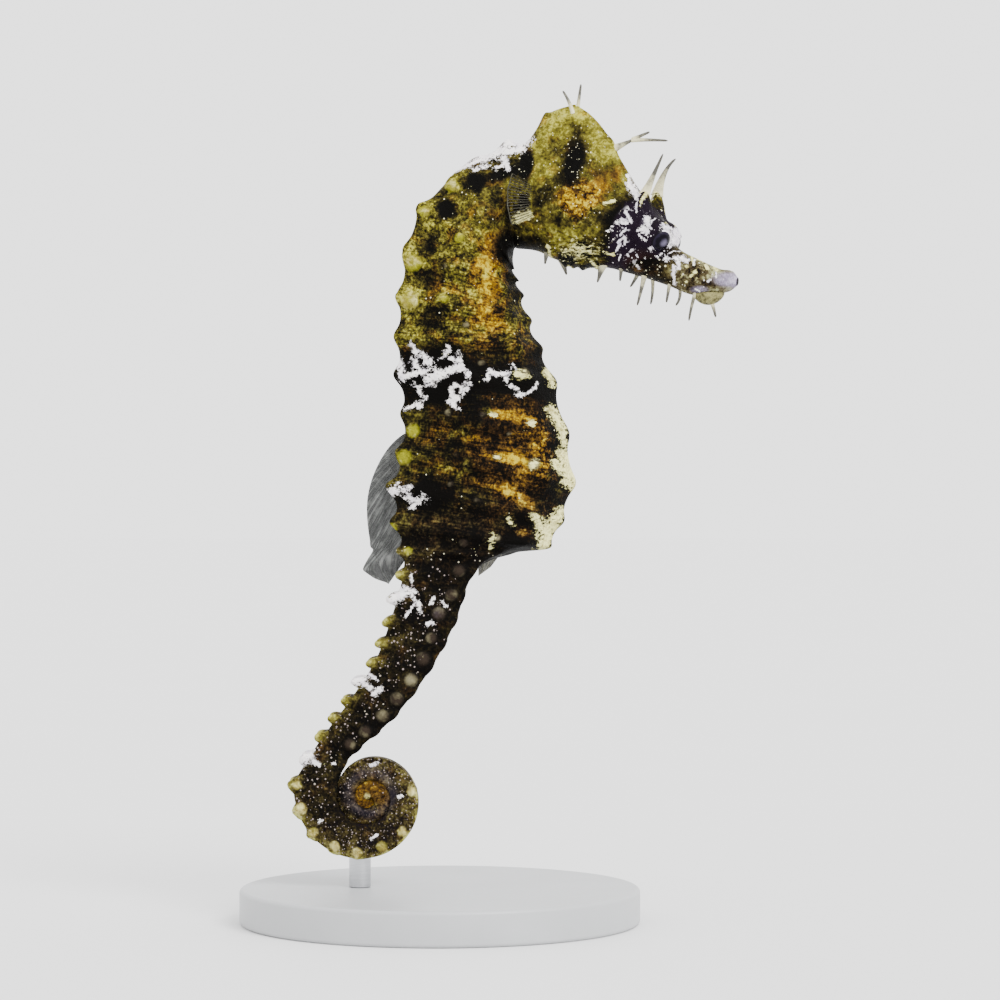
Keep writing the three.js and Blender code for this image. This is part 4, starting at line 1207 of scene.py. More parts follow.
class Skin:
    """One skin over all the flesh, from the lips to the tip of the tail."""

    NODES = ("head", "coronet", "snout", "neck", "trunk_upper", "trunk_middle", "trunk_lower",
             "tail_1", "tail_2", "tail_3", "tail_4", "tail_5")
    COLUMNS = 108
    # Ring numbers and how many loops lie between each and the next.
    LOOPS = ((-9.0, 24), (-8.6, 60), (-5.5, 110), (-2.6, 105),
             (0.6, 240), (11.0, 185), (22.0, 110), (34.0, 66))
    LAST = 49.0
    # Share by which the head's columns draw towards the eyes, and the rings where that starts and ends.
    DRAW = 0.5
    DRAW_START = (-6.5, -5.2)
    DRAW_END = (-2.8, -1.2)

    def __init__(self, form: BodyForm) -> None:
        """Keeps the body's form."""
        self.form = form

    def grid(self) -> tuple[np.ndarray, np.ndarray]:
        """Rings and corners of the mesh.

        Returns:
            Loops evenly spaced within each span of rings; columns evenly spaced but for the
            head, where t + a * (sin(2 pi t) + sin(4 pi t) / 4) / (2 pi) draws them to the eyes.
        """
        ends = [*[start for start, _ in self.LOOPS][1:], self.LAST]
        spans = [np.linspace(start, end, count, endpoint=False)
                 for (start, count), end in zip(self.LOOPS, ends)]
        rings = np.concatenate([*spans, [self.LAST]])
        ring, turn = np.meshgrid(rings, np.arange(self.COLUMNS) * 8.0 / self.COLUMNS, indexing="ij")
        draw = self.DRAW * (1.0 - ease(*self.DRAW_END, ring)) * ease(*self.DRAW_START, ring)
        half = np.where(turn > 4, 8.0 - turn, turn) / 4.0
        wave = (np.sin(2 * np.pi * half) + 0.25 * np.sin(4 * np.pi * half)) / (2 * np.pi)
        warped = 4.0 * (half + draw * wave)
        return ring, np.where(turn > 4, 8.0 - warped, warped)

    def build(self) -> bpy.types.Object:
        """Makes the skin.

        Returns:
            The piece, with every field of Markings.on_skin on its points.
        """
        ring, around = self.grid()
        points, faces = closed_tube(self.form.surface(ring, around))
        values = {name: np.concatenate([grid.ravel(), [grid[0].mean(), grid[-1].mean()]])
                  for name, grid in Markings(self.form).on_skin(ring, around).items()}
        piece = build_mesh("skin", points, faces, values)
        piece.data.materials.append(SkinFinish().material())
        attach(piece, "root")
        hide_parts(*self.NODES)
        return piece


# ---------------------------------------------------------------- finishes
Stops = tuple[tuple[float, Colour], ...]


class SkinValues:
    """Noises and carried numbers that several marks of the skin share."""

    def __init__(self, shader: Shader) -> None:
        """Makes each once; a tip, bead, cream or white mark is where its value is over 0.

        Args:
            shader: the skin's shader.
        """
        self.shader = shader
        place = shader.place()
        self.place = place
        self.tone = shader.carried("tone")
        self.hue = shader.carried("hue")
        self.lilac = shader.carried("lilac").held()
        self.lines = shader.carried("lines")
        self.upper = shader.carried("upper")
        self.tail = shader.carried("tail")
        self.ring = shader.carried("ring")
        self.coarse = shader.carried("coarse")
        self.broad = shader.swing(place, 0.4, 3.0, 0.5, 0.3)
        self.mottle = shader.swing(place, 1.15, 4.0, 0.62, 0.5)
        self.grain = shader.swing(place, 3.4, 3.0, 0.6)
        self.frond = shader.swing(place, 3.0, 4.0, 0.66, 0.6)
        self.layers = shader.swing(shader.scaled(place, (0.7, 1.0, 2.2)), 1.5, 4.0, 0.62, 0.4)
        streaks = shader.vector(self.ring * 13.0, shader.carried("corner") * 1.7, 0.0)
        self.streak = shader.swing(streaks, 1.0, 4.0, 0.6, 0.4)
        self.tip = shader.carried("tip") + self.mottle * 0.8
        self.bead = shader.carried("bead") + self.grain * 0.8
        self.cream = shader.carried("cream") + self.layers * 3.6 + self.frond * 1.8 + self.grain * 1.6
        self.white = shader.carried("white") + self.frond * 3.6 + self.grain * 1.4


@dataclass(frozen=True)
class SkinFinish:
    """Mottled bony skin: one dark to bright scale in lime, one in gold, and pale marks on top."""

    lime: Stops = ((0.0, (0.0017, 0.0015, 0.0012)), (0.22, (0.0077, 0.0063, 0.0022)),
                   (0.45, (0.038, 0.031, 0.0055)), (0.7, (0.118, 0.104, 0.010)), (1.0, (0.35, 0.33, 0.05)))
    gold: Stops = ((0.0, (0.0018, 0.0014, 0.0011)), (0.22, (0.0135, 0.0066, 0.0022)),
                   (0.45, (0.060, 0.030, 0.0060)), (0.7, (0.175, 0.088, 0.001)), (1.0, (0.40, 0.29, 0.002)))
    grey: Stops = ((0.0, (0.0019, 0.0015, 0.0013)), (0.22, (0.0109, 0.0072, 0.0042)),
                   (0.45, (0.040, 0.029, 0.0135)), (0.7, (0.10, 0.088, 0.042)), (1.0, (0.32, 0.32, 0.16)))
    cream: Colour = (0.72, 0.69, 0.30)
    white: Colour = (0.86, 0.82, 0.80)
    lilac: Colour = (0.38, 0.34, 0.46)
    pearl: Colour = (0.155, 0.13, 0.19)
    beige: Colour = (0.17, 0.15, 0.085)
    umber: Colour = (0.024, 0.017, 0.012)
    # Near black of the painted shade in a ring round each bead's foot.
    rim: Colour = (0.005, 0.004, 0.003)
    tip: Colour = (0.115, 0.14, 0.009)
    lime_tip: Colour = (0.215, 0.21, 0.010)
    gold_tip: Colour = (0.24, 0.185, 0.045)
    violet: Colour = (0.0075, 0.0042, 0.0085)
    maroon: Colour = (0.0165, 0.0060, 0.0045)
    straw: Colour = (0.25, 0.21, 0.06)
    dust: Colour = (0.25, 0.20, 0.19)

    dot_radius: float = 0.17

    def light(self, v: SkinValues) -> Value:
        """How bright each place is.

        Args:
            v: the skin's shared values.

        Returns:
            0 dark to 1 bright: tone, with louder noise where the tone is high, bright knobs on
            the upper ridge and layers on the chin.
        """
        loud = (v.tone * 1.2 + 0.6).at_least(0.48).at_most(1.0)
        mottle = (v.mottle * (1.9 - v.lines * 0.3) + v.grain * 1.6) * v.coarse
        noise = v.broad * 1.1 + mottle + v.streak * v.lines * 1.3
        knobs = v.upper * (v.tail * 0.62 + 0.25)
        return v.tone + noise * loud + knobs + v.layers * v.shader.carried("chin") * 3.6

    def ground(self, v: SkinValues) -> bpy.types.NodeSocket:
        """Colour under every mark.

        Args:
            v: the skin's shared values.

        Returns:
            Lime or gold by hue, greyer by share, and violet to maroon in the dark of lilac places.
        """
        shader, light = v.shader, self.light(v)
        hue = v.hue - v.upper * 0.6 + shader.swing(v.place, 0.6, 2.0, 0.5) * 2.2
        colour = shader.blend(shader.ramp(light, self.lime), shader.ramp(light, self.gold),
                              hue.step(0.15, 0.85))
        grey = (shader.carried("grey") + v.mottle).held()
        colour = shader.blend(colour, shader.ramp(light, self.grey), grey)
        mask = shader.blend(self.violet, self.maroon, (v.hue + v.broad - 0.4).held())
        return shader.blend(colour, mask, (v.lilac - light * 2.5).held() * v.lilac.step(0.02, 0.3))

    def raised(self, v: SkinValues, colour: bpy.types.NodeSocket) -> bpy.types.NodeSocket:
        """Lays pale tips and round beads over a colour, each bead with painted shade in a dark ring round
        its foot and its colour laid on most fully in its middle, partly its own beige and umber and partly
        painted light on its dome.

        Args:
            v: the skin's shared values.
            colour: what lies under them.

        Returns:
            The colour with both.
        """
        shader = v.shader
        late = (v.ring - 20.0).step(0.0, 3.0)
        tip = shader.blend(self.lime_tip, self.tip, v.tail)
        tip = shader.blend(tip, self.gold_tip, (v.broad * 4.0 + late).held())
        creamy = (v.mottle * 3.0 + v.broad * 3.0 + late * 0.5 - 0.25).held()
        tip = shader.blend(tip, self.cream, creamy * 0.7)
        shown = (v.tip.step(-0.3, 0.9) * (0.92 + v.grain * 1.4 + v.mottle)).held()
        colour = shader.blend(colour, tip, shown)
        # Painted shade: a dark ring round each bead's foot, out to about 1.4 times its radius.
        colour = shader.blend(colour, self.rim, v.bead.step(-0.9, 0.0) * 0.55)
        # Beige to umber by noise, laid on most fully in each bead's middle: partly the bead's own colour,
        # partly painted light on its dome.
        bead = shader.blend(self.umber, self.beige, (v.broad * 3.5 + v.mottle * 1.5 + 0.35).held())
        return shader.blend(colour, bead, v.bead.step(-0.35, 1.0) * 0.9)

    def glowing(self, v: SkinValues, colour: bpy.types.NodeSocket) -> bpy.types.NodeSocket:
        """Lays pearly and cream places and the dark mouth over a colour.

        Args:
            v: the skin's shared values.
            colour: what lies under them.

        Returns:
            The colour with all three.
        """
        shader = v.shader
        pearl = shader.carried("pearl") * (v.mottle * 1.6 + v.grain * 1.0 + 1.0)
        glow = shader.blend(self.pearl, self.lilac, (pearl * 0.6 + v.frond * 2.4 - 0.3).held())
        colour = shader.blend(colour, glow, pearl.step(0.1, 1.0) * 0.92)
        cream = shader.blend(self.cream, self.straw, (v.grain * 2.6 + v.mottle * 2.0 + 0.2).held())
        colour = shader.blend(colour, cream, v.cream.step(-0.1, 0.35) * (1.0 - v.mottle.at_least(0.0)))
        return shader.blend(colour, self.violet, shader.carried("mouth"))

    def dashes(self, v: SkinValues) -> Value:
        """Pale dashes behind the eye.

        Args:
            v: the skin's shared values.

        Returns:
            Their share: noise fanned out from the eye, between two distances and two directions.
        """
        shader = v.shader
        turn, away = shader.carried("eye_turn"), shader.carried("eye_away")
        fan = shader.swing(shader.vector(turn * 7.0, away * 1.1, 0.0), 1.0, 2.0, 0.5)
        behind = turn.step(-1.2, -0.6) * (1.0 - turn.step(0.9, 1.2))
        return fan.step(0.06, 0.14) * behind * away.step(2.6, 3.2) * (1.0 - away.step(4.2, 5.0))

    def dots(self, v: SkinValues, scale: float, share: Value) -> Value:
        """Round dots of slightly mixed sizes.

        Args:
            v: the skin's shared values.
            scale: cells to the millimetre.
            share: share of the cells that hold a dot.

        Returns:
            1 inside a dot, 0 outside.
        """
        spot, chance = v.shader.cells(v.place, scale)
        return (chance * 0.1 + self.dot_radius - spot).step(-0.05, 0.05) * (chance < share)

    def material(self) -> bpy.types.Material:
        """Builds the material.

        Returns:
            Ground, tips and beads, pearl and cream, then dashes, dots and white strokes on top.
        """
        shader = Shader("bony_skin")
        v = SkinValues(shader)
        colour = self.glowing(v, self.raised(v, self.ground(v)))
        pale = shader.blend(self.white, self.lilac, (v.lilac * 0.4 + v.mottle * 2.2 + 0.1).held())
        colour = shader.blend(colour, pale, self.dashes(v) * 0.8)
        bare = (1.0 - v.bead.step(-0.6, 0.0)) * (1.0 - v.tip.step(-0.3, 0.2)) * (1.0 - v.upper * v.tail)
        chance = shader.carried("dots") * bare.held()
        small = shader.carried("small")
        fine = self.dots(v, 2.9, chance * (small * 0.6 + 0.25))
        bold = self.dots(v, 1.9, chance * (0.85 - small * 0.7))
        dot = shader.blend(self.cream, pale, (v.lilac + 0.35).held())
        dot = shader.blend(dot, self.dust, (v.tail * 0.9 + v.mottle * 2.0 + 0.15).held())
        colour = shader.blend(colour, dot, fine * (v.broad * 2.0 + 0.55).held())
        colour = shader.blend(colour, dot, bold * 0.85)
        colour = shader.blend(colour, pale, v.white.step(-0.05, 0.3))
        relief = v.grain * 0.14 + v.mottle * 0.22 + v.streak * v.lines * 0.12
        marks = v.white.step(0.0, 0.4) * 0.12 + v.cream.step(0.0, 0.4) * 0.08 + (fine + bold) * 0.04
        return shader.surface(Base_Color=colour, Roughness=0.5, Specular_IOR_Level=0.02,
                              bump_height=relief + marks)


@dataclass(frozen=True)
class EyeFinish:
    """Eyeball: dark glossy dome with a painted highlight in its middle and a violet rim, streaked iris
    outside it.
    """

    pupil: Colour = (0.0025, 0.0018, 0.004)
    # Pale violet of the painted highlight in the dome's middle.
    painted_highlight: Colour = (0.10, 0.088, 0.135)
    rim: Colour = (0.010, 0.0075, 0.016)
    iris: Colour = (0.004, 0.0025, 0.005)
    white: Colour = (0.8, 0.76, 0.82)

    def material(self) -> bpy.types.Material:
        """Builds the material.

        Returns:
            Rings of colour by the angle to the gaze that the ball carries, the middle one a painted
            highlight, and white strokes.
        """
        shader = Shader("eye")
        angle = shader.carried("angle")
        cloud = shader.swing(shader.place(), 1.6, 3.0, 0.6)
        white = shader.carried("white") + cloud * 2.0
        # Painted highlight: pale violet in the dome's middle, fading out between about 2 and 18 degrees
        # from the gaze.
        colour = shader.blend(self.pupil, self.painted_highlight, 1.0 - (angle + cloud * 10.0).step(2.0, 18.0))
        colour = shader.blend(colour, self.rim, (angle + cloud * 20.0).step(25.0, 33.0))
        colour = shader.blend(colour, self.iris, angle.step(34.0, 37.0))
        colour = shader.blend(colour, self.white, white.step(0.0, 0.2) * angle.step(36.0, 39.0))
        return shader.surface(Base_Color=colour, Roughness=0.25, Specular_IOR_Level=0.03, Coat_Weight=0.035,
                              Coat_Roughness=0.05, bump_height=cloud * 0.02)


@dataclass(frozen=True)
class FinFinish:
    """Thin membrane with rays; the rest is seen through but for the opacity."""

    name: str
    membrane: Colour
    ray: Colour
    opacity: float
    grainy: float = 1.0
    edge: float = 0.0
    border: Colour = (0.32, 0.30, 0.21)

    def material(self) -> bpy.types.Material:
        """Builds the material.

        Returns:
            Rays as bands across the sheet's own ray count, and a border along its edge.
        """
        shader = Shader(self.name)
        along = shader.carried("along")
        band = shader.carried("band")
        place = shader.vector(shader.carried("lines") * 2.6, along * 1.4, 0.0)
        fine = shader.swing(place, 1.0, 4.0, 0.65, 0.3) * self.grainy
        cloud = shader.swing(shader.place(), 0.7, 3.0, 0.6)
        rim = (along + cloud * 0.04).step(0.95, 0.97)
        colour = shader.blend(self.membrane, self.ray, (band * 0.55 + fine * 2.4 + cloud * 1.6).held())
        colour = shader.blend(colour, self.border, (rim * self.edge * 3.0).held())
        rays = band.step(0.3, 0.42) * (1.0 - self.opacity)
        alpha = (rays + fine * 0.35 + self.opacity + rim * self.edge).held()
        return shader.surface(Base_Color=colour, Roughness=0.45, Specular_IOR_Level=0.1, Alpha=alpha,
                              bump_height=band * 0.05 + fine * 0.06)


@dataclass(frozen=True)
class CirrusFinish:
    """Skin filaments: pale at the foot, greyer and darker to the tip, with dark bands."""

    foot: Colour = linear(0.84, 0.81, 0.64)
    tip: Colour = linear(0.42, 0.41, 0.34)
    dark: Colour = linear(0.19, 0.18, 0.15)

    def material(self) -> bpy.types.Material:
        """Builds the material.

        Returns:
            Colours by the distance that each filament carries and by noise.
        """
        shader = Shader("skin_filament")
        along = shader.carried("along")
        bands = shader.noise(shader.place(), 1.1, 3.0, 0.6)
        colour = shader.blend(self.foot, self.tip, (along * 1.6 + bands - 0.5).held())
        colour = shader.blend(colour, self.dark, (bands + along * 0.55).step(0.62, 0.95) * 0.85)
        return shader.surface(Base_Color=colour, Roughness=0.45, Alpha=0.95)


@dataclass(frozen=True)
class JawFinish:
    """Skin of the lower jaw: finely mottled, dark to straw."""

    dark: Colour = (0.03, 0.026, 0.009)
    pale: Colour = (0.22, 0.20, 0.08)

    def material(self) -> bpy.types.Material:
        """Builds the material.

        Returns:
            One fine noise from dark to pale.
        """
        shader = Shader("jaw_skin")
        fine = shader.noise(shader.place(), 2.0, 4.0, 0.6)
        colour = shader.blend(self.dark, self.pale, fine.step(0.3, 0.65))
        return shader.surface(Base_Color=colour, Roughness=0.5, Specular_IOR_Level=0.1,
                              bump_height=fine * 0.1)


@dataclass(frozen=True)
class StandFinish:
    """Plain stand: pale satin base and brushed rod, each from a darker to a paler shade."""

    satin: tuple[Colour, Colour] = (linear(0.60, 0.605, 0.61), linear(0.66, 0.665, 0.67))
    metal: tuple[Colour, Colour] = (linear(0.6, 0.61, 0.62), linear(0.78, 0.78, 0.79))

    def base(self) -> bpy.types.Material:
        """The base's material.

        Returns:
            Satin pale grey with a faint cast texture.
        """
        shader = Shader("stand_base_satin")
        place = shader.place()
        fine = shader.noise(place, 3.0, 4.0, 0.6)
        colour = shader.blend(*self.satin, shader.noise(place, 0.12, 3.0, 0.5))
        return shader.surface(Base_Color=colour, Roughness=fine * 0.15 + 0.36,
                              bump_height=(fine - 0.5) * 0.02)

    def rod(self) -> bpy.types.Material:
        """The rod's material.

        Returns:
            Metal brushed round the rod.
        """
        shader = Shader("stand_rod_brushed")
        lines = shader.noise(shader.scaled(shader.place(), (0.3, 0.3, 9.0)), 1.5, 4.0, 0.6)
        colour = shader.blend(*self.metal, lines)
        return shader.surface(Base_Color=colour, Metallic=1.0, Roughness=lines * 0.2 + 0.25)


@dataclass(frozen=True)
class FloorFinish:
    """Pale matt floor, from a darker to a paler shade."""

    dark: Colour = (0.71, 0.71, 0.71)
    pale: Colour = (0.73, 0.73, 0.73)

    def material(self) -> bpy.types.Material:
        """Builds the material from one broad noise."""
        shader = Shader("floor_pale")
        colour = shader.blend(self.dark, self.pale, shader.noise(shader.place(), 0.02, 2.0))
        return shader.surface(Base_Color=colour, Roughness=0.7)


# ---------------------------------------------------------------- eyes
@dataclass
class Eyes:
    """The two eyeballs."""

    form: BodyForm
    rows: int = 48
    columns: int = 72
    cornea: float = 0.17
    cornea_angle: float = 33.0

    def build(self, side: int, node: str) -> bpy.types.Object:
        """One eyeball: a ball with a low bulge, radius * cornea * bell(angle), round the gaze.

        Args:
            side: -1 right, 1 left.
            node: the solid that it stands for.

        Returns:
            The eyeball.
        """
        eye = self.form.eye
        axis = eye.towards(side)
        other = np.cross(axis, [0.0, 0.0, 1.0])
        other /= np.linalg.norm(other)
        third = np.cross(axis, other)
        angle, spin = np.meshgrid(np.radians(np.linspace(1.0, 179.0, self.rows)),
                                  2.0 * np.pi * np.arange(self.columns) / self.columns, indexing="ij")
        bulge = eye.radius * (1.0 + self.cornea * bump(np.degrees(angle) / self.cornea_angle))
        radial = (np.cos(angle)[..., None] * axis + (np.sin(angle) * np.cos(spin))[..., None] * other
                  + (np.sin(angle) * np.sin(spin))[..., None] * third)
        plain = eye.centre(side) + radial * bulge[..., None]
        points, faces = closed_tube(self.form.turn.apply(plain, 1.0))
        marks = Markings(self.form).seen_from_side(plain[..., 0], plain[..., 2])
        values = {"angle": np.concatenate([np.degrees(angle).ravel(), [0.0, 180.0]]),
                  "white": np.concatenate([marks["white"].ravel(), [-1.0, -1.0]])}
        piece = build_mesh(f"{node}_ball", points, faces, values)
        piece.data.materials.append(EyeFinish().material())
        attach(piece, "root")
        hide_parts(node)
        return piece


# ---------------------------------------------------------------- fins
@dataclass
class FinSheet:
    """A thin fin between each ray's foot and tip."""

    name: str
    node: str
    feet: np.ndarray
    tips: np.ndarray
    rays: int
    half: float
    sideways: np.ndarray
    finish: FinFinish
    slant: float = 0.0
    steps: int = 28
    # A ray's strength, and its half width in spaces between rays.
    ray_form: tuple[float, float] = (0.6, 0.2)
    # Thickness as shares of the half: membrane, added by a ray, lost towards the edge.
    thickness: tuple[float, float, float] = (0.5, 0.35, 0.55)
    # Depth and pitch of the waves along the edge.
    waves: tuple[float, float] = (0.12, 1.3)

    def build(self) -> bpy.types.Object:
        """Makes the sheet.

        Returns:
            The fin: foot + (tip - foot) * t, half a thickness to each side, thicker by a bell
            over each ray and thinner towards the edge. A slant carries the rays down the sheet.
        """
        count = len(self.feet)
        t = np.linspace(0.0, 1.0, self.steps)
        ray = np.linspace(0.0, self.rays - 1.0, count)
        lines = ray[:, None] - self.slant * t[None, :]
        band = self.ray_form[0] * bump((lines - np.round(lines)) / self.ray_form[1])
        sheet = self.feet[:, None] + (self.tips - self.feet)[:, None] * t[None, :, None]
        membrane, added, lost = self.thickness
        thick = self.half * (membrane + added * band) * (1.0 - lost * t[None, :])
        wave = self.waves[0] * np.sin(ray * self.waves[1])[:, None] * t[None, :] ** 2
        near = sheet + (wave - thick)[..., None] * self.sideways
        far = sheet + (wave + thick)[..., None] * self.sideways
        points, faces = closed_tube(np.concatenate([near, far[:, ::-1]], axis=1))
        both = np.concatenate([t, t[::-1]])
        grids = {"lines": np.concatenate([lines, lines[:, ::-1]], axis=1),
                 "band": np.concatenate([band, band[:, ::-1]], axis=1),
                 "along": np.repeat(both[None, :], count, 0)}
        values = {key: np.concatenate([grid.ravel(), grid[0, :1], grid[-1, :1]])
                  for key, grid in grids.items()}
        piece = build_mesh(self.name, points, faces, values)
        piece.data.materials.append(self.finish.material())
        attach(piece, "root")
        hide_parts(self.node)
        return piece


@dataclass
class Fins:
    """Dorsal, anal and pectoral fins."""

    form: BodyForm
    samples: int = 160
    # Dorsal: first and last ring, then the rays' angle from straight down at the front, from two
    # thirds of the way and in the last lobe; full length; how fast it is reached.
    dorsal_rings: tuple[float, float] = (7.5, 11.15)
    dorsal_angles: tuple[float, float, float] = (102.0, 57.0, 28.0)
    dorsal_length: float = 4.6
    dorsal_rise: float = 0.22
    # Added and taken length, with the middle and width of each as shares of the way.
    lobe: tuple[float, float, float] = (1.35, 0.87, 0.07)
    notch: tuple[float, float, float] = (0.4, 0.755, 0.03)
    # Anal: foot and tip of its first and last ray, as x, y and z.
    anal_feet: tuple[Spot, Spot] = ((7.6, 0.0, 44.6), (4.6, 0.0, 43.0))
    anal_tips: tuple[Spot, Spot] = ((6.1, 0.0, 42.6), (4.6, 0.0, 41.5))
    # Pectoral: middle of its foot as x, y and z, the foot's height, ray length, splay, fan in degrees.
    pectoral_foot: Spot = (11.0, 4.0, 86.3)
    pectoral_high: float = 3.8
    pectoral_length: float = 3.1
    pectoral_splay: float = 16.0
    pectoral_fan: float = 52.0

    def dorsal(self) -> FinSheet:
        """The back fin.

        Returns:
            Rays swept down from the back, longest in the lobe below a notch.
        """
        t = np.linspace(0.0, 1.0, self.samples)
        back = self.form.through_marks(mix(*self.dorsal_rings, t))[:, 0:2]
        front, behind, last = self.dorsal_angles
        angle = np.radians(mix(mix(front, behind, np.minimum(1.0, t / 0.66)), last, ease(0.88, 1.02, t)))
        length = self.dorsal_length * (1.0 - np.exp(-(t + 0.02) / self.dorsal_rise))
        length = length * mix(1.0, 0.88, ease(0.93, 1.0, t))
        for sign, (size, middle, wide) in ((1.0, self.lobe), (-1.0, self.notch)):
            length = length + sign * size * bump((t - middle) / wide)
        feet = np.stack([back[:, 0] + 0.6, np.zeros_like(t), back[:, 1] + 0.25], axis=1)
        tips = np.stack([back[:, 0] - np.sin(angle) * length, np.zeros_like(t),
                         back[:, 1] - np.cos(angle) * length], axis=1)
        finish = FinFinish("dorsal_membrane", (0.03, 0.031, 0.03), (0.23, 0.235, 0.225), 0.86)
        return FinSheet("dorsal_fin_sheet", "dorsal_fin", feet, tips, 19, 0.25, np.array([0.0, 1.0, 0.0]),
                        finish, slant=5.0)

    def anal(self) -> FinSheet:
        """The small fin under the trunk's end.

        Returns:
            Rays evenly spaced from its first to its last.
        """
        t = np.linspace(0.0, 1.0, self.samples // 4)[:, None]
        feet, tips = (mix(np.array([first]), np.array([last]), t)
                      for first, last in (self.anal_feet, self.anal_tips))
        finish = FinFinish("anal_membrane", (0.06, 0.055, 0.04), (0.30, 0.29, 0.23), 0.8)
        return FinSheet("anal_fin_sheet", "anal_fin", feet, tips, 5, 0.2, np.array([0.0, 1.0, 0.0]), finish)

    def pectoral(self, side: int, word: str) -> FinSheet:
        """One clear fan behind a gill cover.

        Args:
            side: -1 right, 1 left.
            word: the same in a word.

        Returns:
            Rays fanned up and down and splayed outward.
        """
        t = np.linspace(0.0, 1.0, self.samples // 2 + 1) - 0.5
        splay, lift = math.radians(self.pectoral_splay), np.radians(self.pectoral_fan * t)
        length = self.pectoral_length * (1.0 - 0.5 * t * t)
        x, y, z = self.pectoral_foot
        feet = np.stack([np.full_like(t, x), np.full_like(t, side * y), z + self.pectoral_high * t], axis=1)
        reach = np.stack([-np.cos(lift) * math.cos(splay), side * np.cos(lift) * math.sin(splay),
                          np.sin(lift)], axis=1)
        sideways = np.array([side * math.sin(splay), side * math.cos(splay), 0.0])
        finish = FinFinish(f"pectoral_membrane_{word}", (0.020, 0.018, 0.011), (0.034, 0.031, 0.018), 0.0,
                           grainy=0.0, edge=1.0, border=(0.042, 0.039, 0.026))
        return FinSheet(f"pectoral_fin_{word}_sheet", f"pectoral_fin_{word}", feet,
                        feet + reach * length[:, None], 17, 0.2, sideways, finish)


# ---------------------------------------------------------------- filaments and jaw
@dataclass(frozen=True)
class Cirrus:
    """One skin filament: foot, bend and tip as x and z in the head's frame, and its y."""

    path: tuple[tuple[float, float], ...]
    y: float
    wide: float = 1.0


CIRRI = (
    Cirrus(((16.3, 96.7), (15.8, 98.4), (15.0, 99.5)), -0.3),
    Cirrus(((16.6, 96.7), (16.9, 98.9), (17.1, 100.3)), 0.3),
    Cirrus(((20.9, 92.3), (22.7, 93.1), (24.0, 93.6)), 0.0, 2.2),
    Cirrus(((23.6, 93.5), (24.5, 93.9), (25.6, 94.3)), 0.0),
    Cirrus(((23.4, 93.4), (25.6, 93.4), (27.8, 93.2)), 0.0),
    Cirrus(((25.3, 86.6), (26.4, 88.9), (27.6, 91.5)), -1.6, 2.5),
    Cirrus(((26.1, 86.8), (26.8, 90.0), (28.4, 91.2)), 1.6, 2.7),
    Cirrus(((13.4, 81.0), (13.1, 79.6), (13.0, 78.8)), -1.0, 2.4),
    Cirrus(((14.6, 80.1), (14.9, 78.4), (15.2, 77.6)), 0.8, 3.2),
    Cirrus(((20.2, 79.3), (19.8, 77.7), (19.4, 76.5)), -0.8, 3.6),
    Cirrus(((22.5, 79.2), (22.3, 77.7), (22.2, 76.6)), -0.9, 1.8),
    Cirrus(((24.4, 78.6), (23.8, 77.1), (23.0, 76.0)), 0.9, 1.8),
    Cirrus(((25.3, 77.8), (24.8, 75.5), (24.3, 73.7)), -0.9, 1.5),
    Cirrus(((25.7, 77.7), (25.9, 75.5), (25.5, 73.9)), 0.9),
    Cirrus(((28.3, 76.9), (28.0, 75.2), (27.8, 74.0)), -0.7),
    Cirrus(((28.9, 76.7), (29.5, 74.7), (28.6, 73.7)), 0.7),
    Cirrus(((31.5, 75.8), (30.8, 73.8), (30.5, 71.8)), -0.6),
    Cirrus(((33.1, 74.0), (33.4, 73.2), (33.6, 72.2)), 0.0),
)


@dataclass
class Filaments:
    """All the skin filaments, joined into one piece."""

    form: BodyForm
    base: float = 0.3
    tip: float = 0.13
    rows: int = 22
    columns: int = 12

    def build(self) -> bpy.types.Object:
        """Makes the filaments.

        Returns:
            One piece: a loop carried along each foot, bend and tip, thinner to the tip.
        """
        t = np.linspace(0.0, 1.0, self.rows)
        spin = 2.0 * np.pi * np.arange(self.columns) / self.columns
        points, faces, along = [], [], []
        for cirrus in CIRRI:
            a, b, c = (np.array([x, cirrus.y, z]) for x, z in cirrus.path)
            centre = ((1 - t) ** 2)[:, None] * a + (2 * t * (1 - t))[:, None] * b + (t * t)[:, None] * c
            ahead = (2 * (1 - t))[:, None] * (b - a) + (2 * t)[:, None] * (c - b)
            ahead /= np.linalg.norm(ahead, axis=1)[:, None]
            across = np.stack([ahead[:, 2], np.zeros_like(t), -ahead[:, 0]], axis=1)
            radius = mix(self.base, self.tip, t ** 0.7) * (1.0 - 0.6 * ease(0.93, 1.0, t))
            spread = radius * mix(1.0, cirrus.wide, (1.0 - t) ** 1.6)
            loops = (centre[:, None] + across[:, None] * (spread[:, None] * np.cos(spin))[..., None]
                     + np.array([0.0, 1.0, 0.0]) * (radius[:, None] * np.sin(spin))[..., None])
            shape, rim = closed_tube(self.form.turn.apply(loops, 1.0), sum(len(p) for p in points))
            faces += rim
            points.append(shape)
            along.append(np.concatenate([np.repeat(t, self.columns), [0.0, 1.0]]))
        piece = build_mesh("filaments", np.concatenate(points), faces, {"along": np.concatenate(along)})
        piece.data.materials.append(CirrusFinish().material())
        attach(piece, "root")
        return piece


